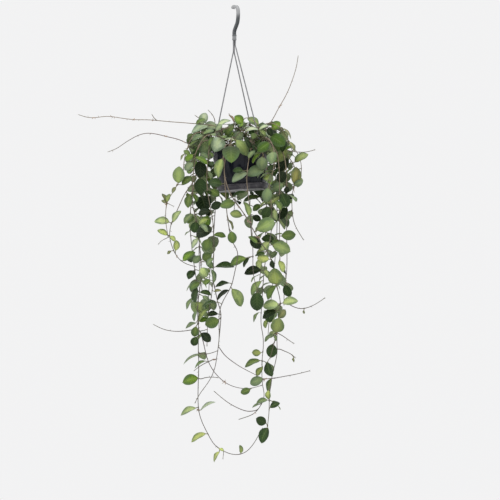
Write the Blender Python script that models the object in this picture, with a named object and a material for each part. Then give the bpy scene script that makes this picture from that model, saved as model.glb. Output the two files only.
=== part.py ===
# Potted hoya in a hanging pot: a plastic hook, three hanger legs, a tapered pot with a clip-on
# saucer, soil, and leafy stems that trail over the rim. Metres, +Z up, +X right, +Y away.
# The origin is where the hook sits on its rail.

import math
import random

import bmesh
import bpy
import numpy as np
from mathutils import Matrix, Vector
from mathutils.bvhtree import BVHTree

mm = 0.001

# Hook
hookInnerRadius = 12.5 * mm
hookThick = 7.0 * mm
hookWide = 7.5 * mm
hookTurn = math.radians(120)
hookRise = 0.3
socketRadius = 5.2 * mm
socketTall = 15 * mm

# Hanger legs
legRadius = 1.5 * mm
legHoleRadius = 1.85 * mm
legRing = 2.6 * mm
legAzimuths = {"leg_left": 180, "leg_back": 55, "leg_front": 319}
legSockets = {"leg_left": 200, "leg_back": 95, "leg_front": 340}
legDrops = {"leg_left": 24, "leg_back": 26, "leg_front": 9}
legStart = Vector((-1.6 * mm, 0, -81 * mm))

# Pot, in its own tilted frame whose origin is the centre of the rim
potLean = math.radians(-3.6)
potRimRadius = 75 * mm
potBaseRadius = 58 * mm
potTall = 99 * mm
potWall = 1.6 * mm
lipWide = 3.5 * mm
lipTall = 7 * mm
lugRing = 66.4 * mm
lugSize = (8 * mm, 9 * mm)
beadRadius = 2.3 * mm
beadTall = 3.5 * mm
drainCount = 6
drainTurn = 0.37
drainRing = 38 * mm
drainRadius = 5 * mm
potSides = 24
touchGap = 0.3 * mm
soilDrop = 12 * mm
soilHeap = 3 * mm
rootDeep = 14 * mm
rootPoints = 4
rootGap = 1.25 * mm

# Saucer
saucerRadius = 65 * mm
saucerTall = 15 * mm
saucerWall = 1.8 * mm
saucerDrop = 4 * mm

# Stems and leaves
stemRadius = 1.5 * mm
stemClear = 5.6 * mm
stemStep = 8 * mm
lineLimit = 1.6 * mm
leafThick = 1.5 * mm
leafRatio = 0.68
broadest = 0.85
longest = 50 * mm
stalkReach = 20 * mm
clearance = 0.45 * mm
crownRadius = 88 * mm
crownLow = 4 * mm
crownSteps = (50, 64)
veiledSteps = (140, 180)
openSteps = (74, 90)
fillSizes = (34, 44)
skylineAcross = (186, 188, 195, 200, 208, 213, 236, 240, 258, 266, 280, 292, 300, 303)
skylineDown = (400, 140, 120, 114, 115, 124, 122, 118, 118, 123, 123, 136, 152, 400)
bushLow = 214
curtainTop = 204
curtains = ((187, 215), (248, 291))
potView = (214, 252, 154, 228)
weldLimit = 0.00012 * mm

# The eye that the sight lines below spread from, and what one unit of them measures
eyeDistance = 2600 * mm
unit = 2.5 * mm
eyePoint = Vector((250.0, 250.0))
seatPoint = Vector((235.0, 8.0))


def seen(across, down, depth=0.0):
    """The point in metres that the eye sees at this spot, at this depth in centimetres."""
    spread = unit * (1 + depth * 10 * mm / eyeDistance)
    x = (eyePoint.x - seatPoint.x) * unit + (across - eyePoint.x) * spread
    z = (seatPoint.y - eyePoint.y) * unit - (down - eyePoint.y) * spread
    return Vector((x, depth * 10 * mm, z))


def spot(point):
    """Where the eye sees a point: across, down."""
    spread = unit * (1 + point.y / eyeDistance)
    across = eyePoint.x + (point.x - (eyePoint.x - seatPoint.x) * unit) / spread
    down = eyePoint.y - (point.z - (seatPoint.y - eyePoint.y) * unit) / spread
    return Vector((across, down))


rimCentre = seen(240.3, 149.5, 0)
potFrame = Matrix.Translation(rimCentre) @ Matrix.Rotation(potLean, 4, "Y")
potFrameBack = potFrame.inverted()

for old in list(bpy.data.objects):
    bpy.data.objects.remove(old, do_unlink=True)

collection = bpy.context.scene.collection


def makeMaterial(name, colour, roughness, metallic=0.0):
    material = bpy.data.materials.new(name)
    material.use_nodes = True
    shader = material.node_tree.nodes["Principled BSDF"]
    shader.inputs["Base Color"].default_value = (*colour, 1)
    shader.inputs["Roughness"].default_value = roughness
    shader.inputs["Metallic"].default_value = metallic
    return material


materials = {
    "hook": makeMaterial("hook_plastic", (0.10, 0.11, 0.12), 0.35),
    "leg": makeMaterial("leg_plastic", (0.16, 0.16, 0.165), 0.4),
    "pot": makeMaterial("pot_plastic", (0.02, 0.022, 0.028), 0.25),
    "saucer": makeMaterial("saucer_plastic", (0.03, 0.028, 0.034), 0.3),
    "soil": makeMaterial("soil", (0.05, 0.035, 0.025), 0.95),
    "vine": makeMaterial("leaf", (0.10, 0.20, 0.06), 0.4),
}


def addMesh(name, mesh, material, matrix=None):
    thing = bpy.data.objects.new(name, mesh)
    collection.objects.link(thing)
    if material:
        mesh.materials.clear()
        mesh.materials.append(materials[material])
    if matrix is not None:
        thing.matrix_world = matrix
    return thing


def addBmesh(name, bm, material, matrix=None):
    bmesh.ops.recalc_face_normals(bm, faces=bm.faces)
    mesh = bpy.data.meshes.new(name)
    bm.to_mesh(mesh)
    bm.free()
    return addMesh(name, mesh, material, matrix)


def turned(profile, sides):
    """A profile of (radius, height), from axis to axis, spun round the Z axis."""
    bm = bmesh.new()
    points = [bm.verts.new((radius, 0, height)) for radius, height in profile]
    edges = [bm.edges.new((a, b)) for a, b in zip(points, points[1:])]
    bmesh.ops.spin(
        bm, geom=points + edges, cent=(0, 0, 0), axis=(0, 0, 1), angle=math.tau, steps=sides, use_merge=True
    )
    bmesh.ops.remove_doubles(bm, verts=bm.verts, dist=0.00001)
    bmesh.ops.dissolve_degenerate(bm, edges=bm.edges, dist=0.00001)
    return bm


def rod(radius, low, high, sides=10):
    bm = bmesh.new()
    middle = Matrix.Translation((low + high) / 2)
    turn = (high - low).to_track_quat("Z", "Y").to_matrix().to_4x4()
    bmesh.ops.create_cone(
        bm, cap_ends=True, segments=sides, radius1=radius, radius2=radius,
        depth=(high - low).length, matrix=middle @ turn,
    )
    return bm


def isWhole(mesh):
    """True where the mesh is one body, each edge has two faces and no two corners nearly meet."""
    bm = bmesh.new()
    bm.from_mesh(mesh)
    whole = all(edge.is_manifold for edge in bm.edges)
    bm.verts.ensure_lookup_table()
    reached = {bm.verts[0]}
    waiting = [bm.verts[0]]
    while waiting:
        vert = waiting.pop()
        for edge in vert.link_edges:
            other = edge.other_vert(vert)
            if other not in reached:
                reached.add(other)
                waiting.append(other)
    count = len(bm.verts)
    bmesh.ops.remove_doubles(bm, verts=bm.verts, dist=weldLimit)
    whole = whole and len(reached) == count and len(bm.verts) == count
    bm.free()
    return whole


def joined(base, parts, operation):
    """The mesh of one Boolean over a collection of the parts, or None where it comes out torn."""
    tools = bpy.data.collections.new(base.name + "_parts")
    for part in parts:
        tools.objects.link(part)
    collection.children.link(tools)
    modifier = base.modifiers.new("join", "BOOLEAN")
    modifier.operation = operation
    modifier.operand_type = "COLLECTION"
    modifier.collection = tools
    result = None
    for solver in ("EXACT", "MANIFOLD"):
        modifier.solver = solver
        bpy.context.view_layer.update()
        evaluated = base.evaluated_get(bpy.context.evaluated_depsgraph_get())
        mesh = bpy.data.meshes.new_from_object(evaluated)
        if isWhole(mesh):
            result = mesh
            break
    base.modifiers.clear()
    bpy.data.collections.remove(tools)
    return result


def joinAll(base, parts, operation):
    """Joins or cuts with all the parts at once, in halves where that fails, and removes the parts."""
    mesh = joined(base, parts, operation)
    if mesh:
        base.data = mesh
    elif len(parts) > 1:
        half = len(parts) // 2
        joinAll(base, parts[:half], operation)
        joinAll(base, parts[half:], operation)
        return base
    else:
        print("left out of", base.name, parts[0].name)
    for part in parts:
        bpy.data.objects.remove(part, do_unlink=True)
    return base


def addTube(name, points, radius, sides=4, material=None):
    """A round rod along a smooth row of points, closed at both ends, as a mesh object."""
    curve = bpy.data.curves.new(name, "CURVE")
    curve.dimensions = "3D"
    curve.bevel_depth = radius
    curve.bevel_resolution = (sides - 4) // 2
    curve.use_fill_caps = True
    line = curve.splines.new("POLY")
    line.points.add(len(points) - 1)
    for place, point in zip(line.points, points):
        place.co = (*point, 1)
    thing = bpy.data.objects.new(name, curve)
    collection.objects.link(thing)
    bpy.context.view_layer.update()
    mesh = bpy.data.meshes.new_from_object(thing.evaluated_get(bpy.context.evaluated_depsgraph_get()))
    bpy.data.objects.remove(thing, do_unlink=True)
    bpy.data.curves.remove(curve)
    bm = bmesh.new()
    bm.from_mesh(mesh)
    bmesh.ops.remove_doubles(bm, verts=bm.verts, dist=0.00001)
    bpy.data.meshes.remove(mesh)
    return addBmesh(name, bm, material)


def smooth(points, step):
    """A Catmull-Rom curve through the points, read off at even steps."""
    path = np.array([list(point) for point in points])
    path = np.vstack([2 * path[0] - path[1], path, 2 * path[-1] - path[-2]])
    fine = []
    for a, b, c, d in zip(path, path[1:], path[2:], path[3:]):
        for t in np.arange(0, 1, 0.05):
            fine.append(
                0.5 * (2 * b + (c - a) * t + (2 * a - 5 * b + 4 * c - d) * t**2 + (3 * b - a - 3 * c + d) * t**3)
            )
    fine = np.array(fine + [path[-2]])
    along = np.concatenate([[0], np.cumsum(np.linalg.norm(np.diff(fine, axis=0), axis=1))])
    count = max(2, round(along[-1] / step) + 1)
    marks = np.linspace(0, along[-1], count)
    return np.stack([np.interp(marks, along, fine[:, axis]) for axis in range(3)], axis=1)


def sweep(path, across, wide, thick):
    """A flat bar with eight sides along a path; across is the direction of its width."""
    bm = bmesh.new()
    bmesh.ops.create_circle(bm, cap_ends=True, segments=8, radius=1)
    bm.faces.ensure_lookup_table()
    ring = bm.faces[0]
    for index, point in enumerate(path):
        if index:
            made = bmesh.ops.extrude_face_region(bm, geom=[ring])
            if index > 1 and ring.is_valid:
                bm.faces.remove(ring)
            ring = [item for item in made["geom"] if isinstance(item, bmesh.types.BMFace)][0]
        before = path[max(index - 1, 0)]
        after = path[min(index + 1, len(path) - 1)]
        out = (after - before).cross(across).normalized()
        for corner, vert in enumerate(ring.verts):
            angle = math.tau * (corner + 0.5) / 8
            side = math.cos(angle) * wide / 2 / math.cos(math.pi / 8)
            lift = math.sin(angle) * thick / 2 / math.cos(math.pi / 8)
            vert.co = point + across * side + out * lift
    return bm


def buildHook():
    """An arch over the rail, a shank that swings back over the legs, and a socket that holds them."""
    along = Vector((math.cos(hookTurn), math.sin(hookTurn), 0))
    across = Vector((-along.y, along.x, 0))
    radius = hookInnerRadius + hookThick / 2
    path = []
    for turn in range(42, 181, 23):
        angle = math.radians(turn)
        arch = along * radius * math.cos(angle)
        rise = hookRise * radius * max(0.0, math.cos(angle))
        path.append(arch + Vector((0, 0, radius * math.sin(angle) - hookInnerRadius + rise)))
    front = path[-1]
    foot = legStart + Vector((0, 0, socketTall - 5 * mm))
    swing = [
        front,
        front + Vector((0, 0.3 * mm, -10 * mm)),
        front.lerp(foot, 0.45) + Vector((2.2 * mm, -1 * mm, 0)),
        foot + Vector((0.4 * mm, -0.6 * mm, 14 * mm)),
        foot,
    ]
    path += [Vector(point) for point in smooth(swing, 9 * mm)][1:]
    hook = addBmesh("hook", sweep(path, across, hookWide, hookThick), "hook")
    socketTop = legStart + Vector((0, 0, socketTall))
    joinAll(hook, [addBmesh("socket", rod(socketRadius, legStart, socketTop, 16), None)], "UNION")
    holes = []
    for name in legAzimuths:
        top = legTop(name) + Vector((0, 0, 0.5 * mm))
        mouth = top - Vector((0, 0, socketTall + 5 * mm))
        holes.append(addBmesh("hole", rod(legHoleRadius, mouth, top, 8), None))
    joinAll(hook, holes, "DIFFERENCE")


def legTop(name):
    turn = math.radians(legSockets[name])
    return legStart + Vector((math.cos(turn) * legRing, math.sin(turn) * legRing, socketTall - 4 * mm))


def lugPoint(name, height):
    turn = math.radians(legAzimuths[name])
    return potFrame @ Vector((math.cos(turn) * lugRing, math.sin(turn) * lugRing, height))


def legRoute(name):
    """Down out of the socket beside the other two, then spread and straight to the pot's lug."""
    top = legTop(name)
    mouth = Vector((top.x, top.y, legStart.z - 4 * mm))
    down = mouth + Vector((0, 0, -legDrops[name] * mm))
    lug = lugPoint(name, 8 * mm)
    end = lugPoint(name, -lipTall - 3 * mm)
    return [top, mouth, down, down.lerp(lug, 0.06), down.lerp(lug, 0.5), lug, lugPoint(name, 4 * mm), end]


def buildLeg(name):
    """One strand of the hanger, with a bead at its end that holds up the pot's lug."""
    leg = addTube(name, legRoute(name), legRadius, 6, "leg")
    low = lugPoint(name, -lipTall - beadTall - touchGap)
    bead = addBmesh("bead", rod(beadRadius, low, lugPoint(name, -lipTall - touchGap), 10), None)
    joinAll(leg, [bead], "UNION")


def buildPot():
    """A tapered wall with a rolled lip, a floor with drain holes, and three lugs for the legs."""
    base = -potTall
    inner = potBaseRadius - potWall
    profile = [
        (0, base),
        (potBaseRadius - 3 * mm, base),
        (potBaseRadius, base + 3 * mm),
        (potRimRadius - lipWide, -lipTall),
        (potRimRadius, -lipTall),
        (potRimRadius, -1 * mm),
        (potRimRadius - 1 * mm, 0),
        (potRimRadius - lipWide - potWall, 0),
        (potRimRadius - lipWide - potWall, -lipTall),
        (inner, base + 3.5 * mm),
        (inner - 2 * mm, base + 2 * mm),
        (0, base + 2 * mm),
    ]
    pot = addBmesh("pot", turned(profile, potSides), "pot", potFrame)
    lugs = []
    for name in legAzimuths:
        bm = bmesh.new()
        bmesh.ops.create_cube(bm, size=1)
        turn = Matrix.Rotation(math.radians(legAzimuths[name]), 4, "Z")
        size = Matrix.Diagonal((*lugSize, lipTall - 0.6 * mm, 1))
        place = Matrix.Translation((lugRing + 0.8 * mm, 0, -lipTall / 2))
        bmesh.ops.transform(bm, matrix=potFrame @ turn @ place @ size, verts=bm.verts)
        lugs.append(addBmesh("lug", bm, None))
    joinAll(pot, lugs, "UNION")
    holes = []
    for name in legAzimuths:
        low = lugPoint(name, -lipTall - 4 * mm)
        holes.append(addBmesh("hole", rod(legHoleRadius, low, lugPoint(name, 4 * mm), 8), None))
    for index in range(drainCount):
        turn = math.tau * (index + drainTurn) / drainCount
        middle = Vector((math.cos(turn) * drainRing, math.sin(turn) * drainRing, base + 1 * mm))
        ends = [potFrame @ (middle + Vector((0, 0, way * 4 * mm))) for way in (-1, 1)]
        holes.append(addBmesh("hole", rod(drainRadius, *ends, 8), None))
    joinAll(pot, holes, "DIFFERENCE")


def buildSaucer():
    """A shallow dish clipped under the pot, with a low ring inside that the pot stands on."""
    floor = -potTall - saucerDrop
    ring = potBaseRadius - 8 * mm
    profile = [
        (0, floor),
        (saucerRadius - 6 * mm, floor),
        (saucerRadius - 2 * mm, floor + 2 * mm),
        (saucerRadius, floor + saucerTall - 1 * mm),
        (saucerRadius - 0.6 * mm, floor + saucerTall),
        (saucerRadius - saucerWall, floor + saucerTall),
        (saucerRadius - saucerWall - 2 * mm, floor + 3 * mm),
        (ring + 2 * mm, floor + 2 * mm),
        (ring + 2 * mm, -potTall - touchGap),
        (ring, -potTall - touchGap),
        (ring, floor + 2 * mm),
        (0, floor + 2 * mm),
    ]
    addBmesh("saucer", turned(profile, potSides), "saucer", potFrame)


def buildSoil(roots):
    """A plug of soil with a slightly heaped top and a plain hole for each stem."""
    low = -potTall + 2 * mm + touchGap
    profile = [
        (0, low),
        (innerWall(low) - 3 * mm, low),
        (innerWall(low + 3 * mm) - 2 * touchGap, low + 3 * mm),
        (innerWall(-soilDrop) - 2 * touchGap, -soilDrop),
        (potRimRadius * 0.6, -soilDrop + soilHeap * 0.7),
        (0, -soilDrop + soilHeap),
    ]
    soil = addBmesh("soil", turned(profile, potSides), "soil", potFrame)
    holes = []
    for root in roots:
        top = potFrame @ Vector((root.x, root.y, 6 * mm))
        bottom = potFrame @ Vector((root.x, root.y, -soilDrop - rootDeep - touchGap))
        holes.append(addBmesh("hole", rod(stemRadius + rootGap, bottom, top, 4), None))
    joinAll(soil, holes, "DIFFERENCE")


def innerWall(height):
    """The pot's inner radius at this height below the rim."""
    low = -potTall + 3.5 * mm
    share = (height - low) / (-lipTall - low)
    top = potRimRadius - lipWide - potWall
    bottom = potBaseRadius - potWall
    return bottom + (top - bottom) * share


# Each stem: how far from the pot's middle it is rooted, how high it arches over the rim (both mm), and
# the route that it takes outside as across, down and depth in centimetres. Shoots leave it on the way.
stems = {
    "vine_outer_left": dict(root=52, crest=30, route=[
        (205, 131, -4), (194, 131, -4.4), (191, 137, -4.6), (188, 146, -4.8), (184, 158, -5), (183.5, 168, -5),
        (184, 177, -5), (178, 183, -4.8), (172, 194, -4.5), (166, 202, -4.3), (165.5, 222, -4), (168, 236, -4),
    ], shoots=[[
        (189, 144, -4.8), (186, 143.5, -5.4), (182, 140, -5.8), (176, 138, -6), (170, 137.5, -6),
        (165, 136.5, -6), (160, 134.5, -6), (148, 132, -6), (142, 133, -6), (136, 135.5, -5.5),
        (130, 139.5, -5),
        (124, 143, -5), (119, 148, -5), (113, 151, -5), (109, 151.5, -5),
    ]]),
    "vine_runner_left": dict(root=40, crest=46, route=[
        (222, 127, -2.5), (210, 124.5, -3.2), (198, 124, -3.6), (182, 122.5, -4), (172, 122, -4),
        (162, 121, -4),
        (154, 120, -4), (145, 119.5, -4), (135, 120, -3.5), (120, 118, -3), (108, 115.5, -3),
        (98, 117.5, -2.5),
        (94, 118.5, -2.5), (88, 118.5, -2), (84, 117, -2), (79.5, 115, -2),
    ], shoots=[[(155.5, 120, -4), (153.5, 117.5, -4.2), (152.5, 115.5, -4.3)]]),
    "vine_left_loop": dict(root=30, crest=22, route=[
        (203, 150, -3.4), (198, 168, -3), (195, 180, -2.5), (188, 189, -2.5), (184, 194, -2.5),
        (180, 204, -2.5),
        (177, 211, -2.5), (172, 220, -2.5), (169.5, 228, -2.2), (168.5, 236, -2), (170, 242, -2),
        (174, 253, -2),
        (177, 258, -2), (180, 262, -2), (186, 264.5, -2), (190, 266, -2), (195, 266.5, -2),
    ]),
    "vine_left_long": dict(root=50, crest=20, route=[
        (204, 138, -5.4), (197, 150, -5.6), (193, 175, -5), (192, 208, -4), (195, 212, -4), (197, 222, -4),
        (199, 240, -3.5), (201, 262, -3.5), (201, 280, -3.5), (198, 300, -3.5), (197.5, 318, -3.5),
        (199, 330, -3.5), (198, 345, -3.5), (199, 362, -3.5), (198.5, 375, -3.5), (198, 390, -3.5),
        (198, 409, -3.2), (200, 418, -3), (204, 427, -3), (208, 434, -3), (213, 445, -3), (219, 449, -3),
        (229, 454.5, -3), (236, 456, -3), (243, 455, -3), (248, 452, -3), (256, 441, -3), (259, 434, -2.6),
        (262, 429, -2.2),
    ], shoots=[
        [(199, 328, -3.5), (203, 340, -3.9), (205, 350, -4), (207, 360, -4), (212, 370, -4), (217, 376, -4),
         (223, 382, -4), (230, 386, -4), (238, 388.5, -4), (250, 389.5, -4), (256, 387.5, -4),
         (261, 385.5, -4)],
        [(198, 329, -3.5), (190, 330, -4), (184, 331.5, -4), (176, 332, -4), (163, 330, -4), (154.5, 325, -4)],
        [(199, 353.5, -3.5), (204, 355, -3), (209, 355, -2.6), (217, 351, -2.4)],
        [(198.5, 380, -3.5), (203, 377, -3), (210, 376, -2.6), (217, 377.5, -2.4)],
    ]),
    "vine_left_front": dict(root=34, crest=16, route=[
        (211, 138, -6.4), (208.5, 150, -6.8), (207, 172, -6.6), (206.5, 182, -6.4), (208, 195, -6.2),
        (211.5, 213, -6.2), (213, 220, -6.2), (214, 240, -6.2), (213.5, 262, -6), (213, 283, -6),
        (211, 300, -6),
        (208.5, 313, -6),
    ], shoots=[
        [(213, 281, -6), (215.5, 290, -5.5), (217, 302, -5.4), (220, 307, -5.6), (222, 313, -5.6), (221, 320, -5.6),
         (219, 340, -5.6), (218, 350, -5.6), (216.5, 358, -5.6), (216, 366, -5.6), (211, 379, -5.6),
         (205, 387, -5.6), (199, 394, -5.6), (195.5, 402, -5.6)],
        [(218.5, 346, -5.6), (223, 355, -6), (230, 360, -6), (240, 367, -6), (250, 372, -6), (256, 375, -6)],
        [(216.5, 358, -5.6), (210, 361, -6), (202, 364, -6.2), (195, 370, -6.2)],
    ]),
    "vine_middle": dict(root=52, crest=14, route=[
        (223, 150, -8.6), (224, 170, -9.3), (225.5, 192, -9.3), (227, 216, -9), (229.5, 230, -9),
        (230, 240, -9),
        (233, 244, -9), (237.5, 248, -9), (239.5, 253, -9), (236.5, 265, -8.8), (234, 275, -8.6),
        (232.5, 285, -8.5), (226, 296, -8.2), (221, 303, -8), (218.5, 316, -7.8), (219, 326, -7.8),
        (219.5, 335, -7.8), (218.5, 346, -7.8),
    ]),
    "vine_right_long": dict(root=30, crest=12, route=[
        (227, 152, -9.2), (223.5, 166, -9.8), (224.5, 178, -9.8), (229, 192, -9.6), (236, 203, -9.4),
        (240, 208, -9.4), (247, 218, -9.2), (257, 237, -8.8), (264, 247, -8.5), (268, 252, -8.2),
        (273, 262, -8),
        (276, 284, -7), (281, 300, -6.2), (280.5, 308, -6), (277, 330, -6), (277, 346, -6), (278, 350, -6),
        (277, 357, -6), (275, 365, -6), (272, 375, -6), (269, 400, -5.6), (269.5, 410, -5.4), (267.5, 426, -5),
    ], shoots=[
        [(277.5, 326, -6), (274, 345, -6.6), (270, 358, -6.8)],
        [(277, 333, -6), (281, 333.5, -5.6), (287, 339, -5.4), (293, 343, -5.4)],
        [(277.5, 348, -6), (285, 351.5, -6), (292, 352.5, -6), (294.5, 357, -6)],
    ]),
    "vine_right_inner": dict(root=52, crest=18, route=[
        (262, 150, -8.6), (267, 170, -8.2), (271, 200, -7.2), (271.5, 228, -6.8), (270.5, 240, -6.8),
        (265, 262, -6.4), (262, 300, -5.8), (260.5, 325, -5.6), (263.5, 335, -5.6), (263.5, 350, -5.6),
        (262, 357, -5.6), (262, 385, -5.4), (265, 391, -5.2), (265.5, 397, -5), (263, 403, -4.8),
        (258, 411, -4.6), (256, 414, -4.4), (252, 416, -4.2), (245, 417.5, -4), (240, 419, -4),
    ], shoots=[
        [(262, 379, -5.4), (268, 379, -5), (275, 378.5, -4.6), (283, 376.5, -4.4), (295, 374.6, -4.2),
         (309, 371, -4.2)],
        [(259, 409.5, -4.6), (250, 413, -5.2), (244, 411.5, -5.2), (237, 408, -5.2), (231, 405, -5.2),
         (224, 400, -5.2), (215, 392, -5.2)],
    ]),
    "vine_front": dict(root=14, crest=17, route=[
        (252, 141, -8.8), (251, 152, -9.3), (248, 162, -9.6), (247, 172, -9.6), (246, 182, -9.4),
        (248, 192, -9.2),
        (252, 232, -7.9), (253, 250, -7.6), (253, 275, -7.4), (258, 292, -7.2),
    ]),
    "vine_right_short": dict(root=38, crest=22, route=[
        (275, 146, -6.4), (279, 165, -6.2), (279.5, 204, -5.6), (279.5, 238, -5.2), (280, 262, -5),
    ]),
    "vine_right_low": dict(root=48, crest=26, route=[
        (281, 146, -4), (286, 165, -4), (286.5, 190, -3.6), (287, 215, -3.4), (286.5, 225, -3.4),
        (287, 270, -3.2), (284, 290, -3.2), (284, 304, -3.2),
    ], shoots=[
        [(287, 213.5, -3.4), (289, 215.5, -3.8), (291.5, 216, -4)],
        [(284.5, 301, -3.2), (290, 306, -3.6), (299, 310, -3.8), (304, 310, -3.8), (316, 304.5, -3.8),
         (324, 298.5, -3.8)],
    ]),
    "vine_outer_right": dict(root=30, crest=36, route=[
        (281, 146, -1.2), (287, 155, -1.5), (293, 162, -1.5), (296, 168, -1.5), (298, 175, -1.5),
        (296, 182, -1.5),
        (292.5, 190, -1.5), (291.5, 200, -1.5), (293, 222, -1.5), (297, 230, -1.5), (303, 239, -1.5),
    ], shoots=[[(284, 150, -1.3), (295, 152, -0.6), (306, 153, -0.4), (314, 150, -0.4)]]),
    "vine_runner_up": dict(root=38, crest=42, route=[
        (263, 132, 2), (268, 126, 1.4), (273.5, 119, 1), (276.5, 112, 0.8), (280, 105, 0.6), (285, 98, 0.4),
        (290, 87, 0.2), (292, 81, 0), (295, 73, 0), (297, 66, 0), (298, 57, 0),
    ]),
    "crown_left": dict(root=18, crest=48, route=[
        (216, 129, 0.6), (207, 124, 0.4), (200, 119, 0.2), (196, 116, 0),
    ], shoots=[[(214, 128, 0.6), (217, 121, 1), (212, 112, 1), (209, 111, 1)]]),
    "crown_left_front": dict(root=16, crest=30, route=[
        (214, 133, -6), (206, 134, -7.6), (201, 140, -8.6), (196, 152, -8.8), (191, 166, -8.6),
    ]),
    "crown_front": dict(root=33, crest=24, route=[
        (233, 136, -7.6), (232, 136, -9.6), (231, 141, -11.4), (230, 152, -12),
    ]),
    "crown_centre": dict(root=3, crest=66, route=[
        (241, 119, -1.5), (246, 116, -2.5), (252, 118, -4), (257, 124, -5.5),
    ], shoots=[[(236, 124, -0.6), (232, 119, -0.8), (229.5, 114.5, -1)]]),
    "crown_right": dict(root=22, crest=50, route=[
        (262, 124, -3), (271, 121, -3.6), (280, 126, -4.4), (286, 135, -5), (291, 146, -5),
    ]),
    "crown_right_front": dict(root=24, crest=26, route=[
        (266, 137, -8), (271, 139, -9.4), (274, 147, -10.2), (275, 160, -10.2), (272, 176, -10),
        (268, 190, -9.8),
    ]),
    "crown_right_back": dict(root=50, crest=34, route=[
        (270, 136, 2.6), (282, 138, 2.8), (292, 145, 3), (299, 154, 3), (302, 164, 3), (301, 178, 3),
    ]),
    "back_right": dict(root=24, crest=22, route=[
        (272, 150, 5.5), (276, 180, 6), (277, 230, 6), (274, 270, 6), (270, 310, 6), (268, 335, 6),
    ]),
    "back_right_inner": dict(root=52, crest=16, route=[
        (262, 150, 8.6), (266, 185, 9), (266, 230, 9), (262, 262, 8.6), (258, 290, 8.4),
    ]),
    "back_middle_right": dict(root=30, crest=24, route=[
        (247, 148, 10.2), (250, 180, 10.6), (250, 215, 10.4), (252, 245, 10),
    ]),
    "back_middle": dict(root=50, crest=14, route=[
        (236, 148, 9.6), (236, 180, 10), (234, 212, 10),
    ]),
    "back_left_inner": dict(root=30, crest=20, route=[
        (222, 148, 9.4), (217, 180, 9.8), (214, 230, 9.6), (210, 270, 9.2), (208, 310, 9), (207, 345, 9),
    ]),
    "back_left": dict(root=50, crest=24, route=[
        (212, 147, 7.6), (205, 180, 8.2), (200, 230, 8), (199, 262, 7.6), (202, 290, 7.4),
    ]),
    "back_left_outer": dict(root=32, crest=28, route=[
        (202, 148, 4.6), (195, 180, 5.2), (190, 215, 5), (192, 250, 4.6), (197, 285, 4.4), (199, 320, 4.4),
    ]),
    "crown_back": dict(root=43, crest=44, route=[
        (246, 131, 7), (250, 128, 9), (254, 134, 11), (258, 148, 12), (260, 165, 12),
    ]),
    "crown_back_left": dict(root=18, crest=40, route=[
        (222, 134, 5), (214, 130, 7), (206, 136, 8.6), (200, 150, 9.2), (196, 166, 9.4),
    ]),
}


def rootedRoute(stem):
    """From the bottom of its hole, up and over the rim, to where the route outside begins."""
    first = potFrameBack @ seen(*stem["route"][0])
    turn = math.atan2(first.y, first.x)
    root = Vector((math.cos(turn) * stem["root"] * mm, math.sin(turn) * stem["root"] * mm, 0))
    reach = (stem["root"] * mm + max(stem["root"] * mm + 4 * mm, 62 * mm)) / 2
    inner = Vector((math.cos(turn) * reach, math.sin(turn) * reach, stem["crest"] * mm * 0.72))
    over = Vector((math.cos(turn) * 70 * mm, math.sin(turn) * 70 * mm, stem["crest"] * mm))
    lowest = -soilDrop - rootDeep + touchGap
    start = [root + Vector((0, 0, height)) for height in (lowest, lowest / 2, -1 * mm)]
    start += [inner]
    if first.xy.length > potRimRadius + 7 * mm:
        start += [over]
    return [potFrame @ point for point in start] + [seen(*place) for place in stem["route"]], root


def relax(lines):
    """Moves crowded stems apart, and clear of the pot, saucer and legs, by small steps."""
    home = np.vstack([line["points"] for line in lines])
    owner = np.concatenate([[line["plant"]] * len(line["points"]) for line in lines])
    index = np.concatenate([np.arange(len(line["points"])) for line in lines])
    held = np.concatenate([np.arange(len(line["points"])) < line["fixed"] for line in lines])
    legs = []
    for name in legAzimuths:
        legs.append(smooth(legRoute(name)[2:], 6 * mm))
    legs = np.vstack(legs)
    turn = np.array(potFrameBack)
    back = np.array(potFrame)
    here = home.copy()
    for step in range(90):
        push = np.zeros_like(here)
        gap = here[:, None, :] - here[None, :, :]
        far = np.linalg.norm(gap, axis=2) + 1e-9
        near = (far < stemClear) & (owner[:, None] != owner[None, :])
        share = np.where(near, (stemClear - far) / far * 0.5, 0)
        push += (gap * share[:, :, None]).sum(axis=1)
        gap = here[:, None, :] - legs[None, :, :]
        far = np.linalg.norm(gap, axis=2) + 1e-9
        share = np.where(far < stemClear, (stemClear - far) / far, 0)
        push += (gap * share[:, :, None]).sum(axis=1)
        inner = here @ turn[:3, :3].T + turn[:3, 3]
        radius = np.hypot(inner[:, 0], inner[:, 1])
        beside = (index > 6) & (inner[:, 2] < 3 * mm) & (inner[:, 2] > -potTall - 12 * mm)
        out = np.where(beside, np.clip(potRimRadius + 3.4 * mm - radius, 0, None), 0)
        above = (index > 2) & (radius > 58 * mm) & (radius < 84 * mm) & (inner[:, 2] > 0) & (inner[:, 2] < 6 * mm)
        lift = np.where(above, 6 * mm - inner[:, 2], 0)
        aside = np.stack([inner[:, 0] / radius * out, inner[:, 1] / radius * out, lift], axis=1)
        push += aside @ back[:3, :3].T
        here = here + np.where(held[:, None], 0, push * 0.6 + (home - here) * 0.03)
        first = 0
        for line in lines:
            count = len(line["points"])
            piece = here[first:first + count]
            free = np.arange(count) >= line["fixed"]
            middle = piece.copy()
            middle[1:-1] = piece[1:-1] * 0.8 + (piece[:-2] + piece[2:]) * 0.1
            here[first:first + count] = np.where(free[:, None], middle, piece)
            first += count
    first = 0
    for line in lines:
        count = len(line["points"])
        line["points"] = here[first:first + count]
        first += count


def onLine(point, line):
    """The nearest point of a row of straight runs."""
    best = None
    for a, b in zip(line, line[1:]):
        run = b - a
        share = max(0, min(1, (point - a).dot(run) / run.length_squared))
        near = a + run * share
        if best is None or (near - point).length < (best - point).length:
            best = near
    return best


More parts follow.
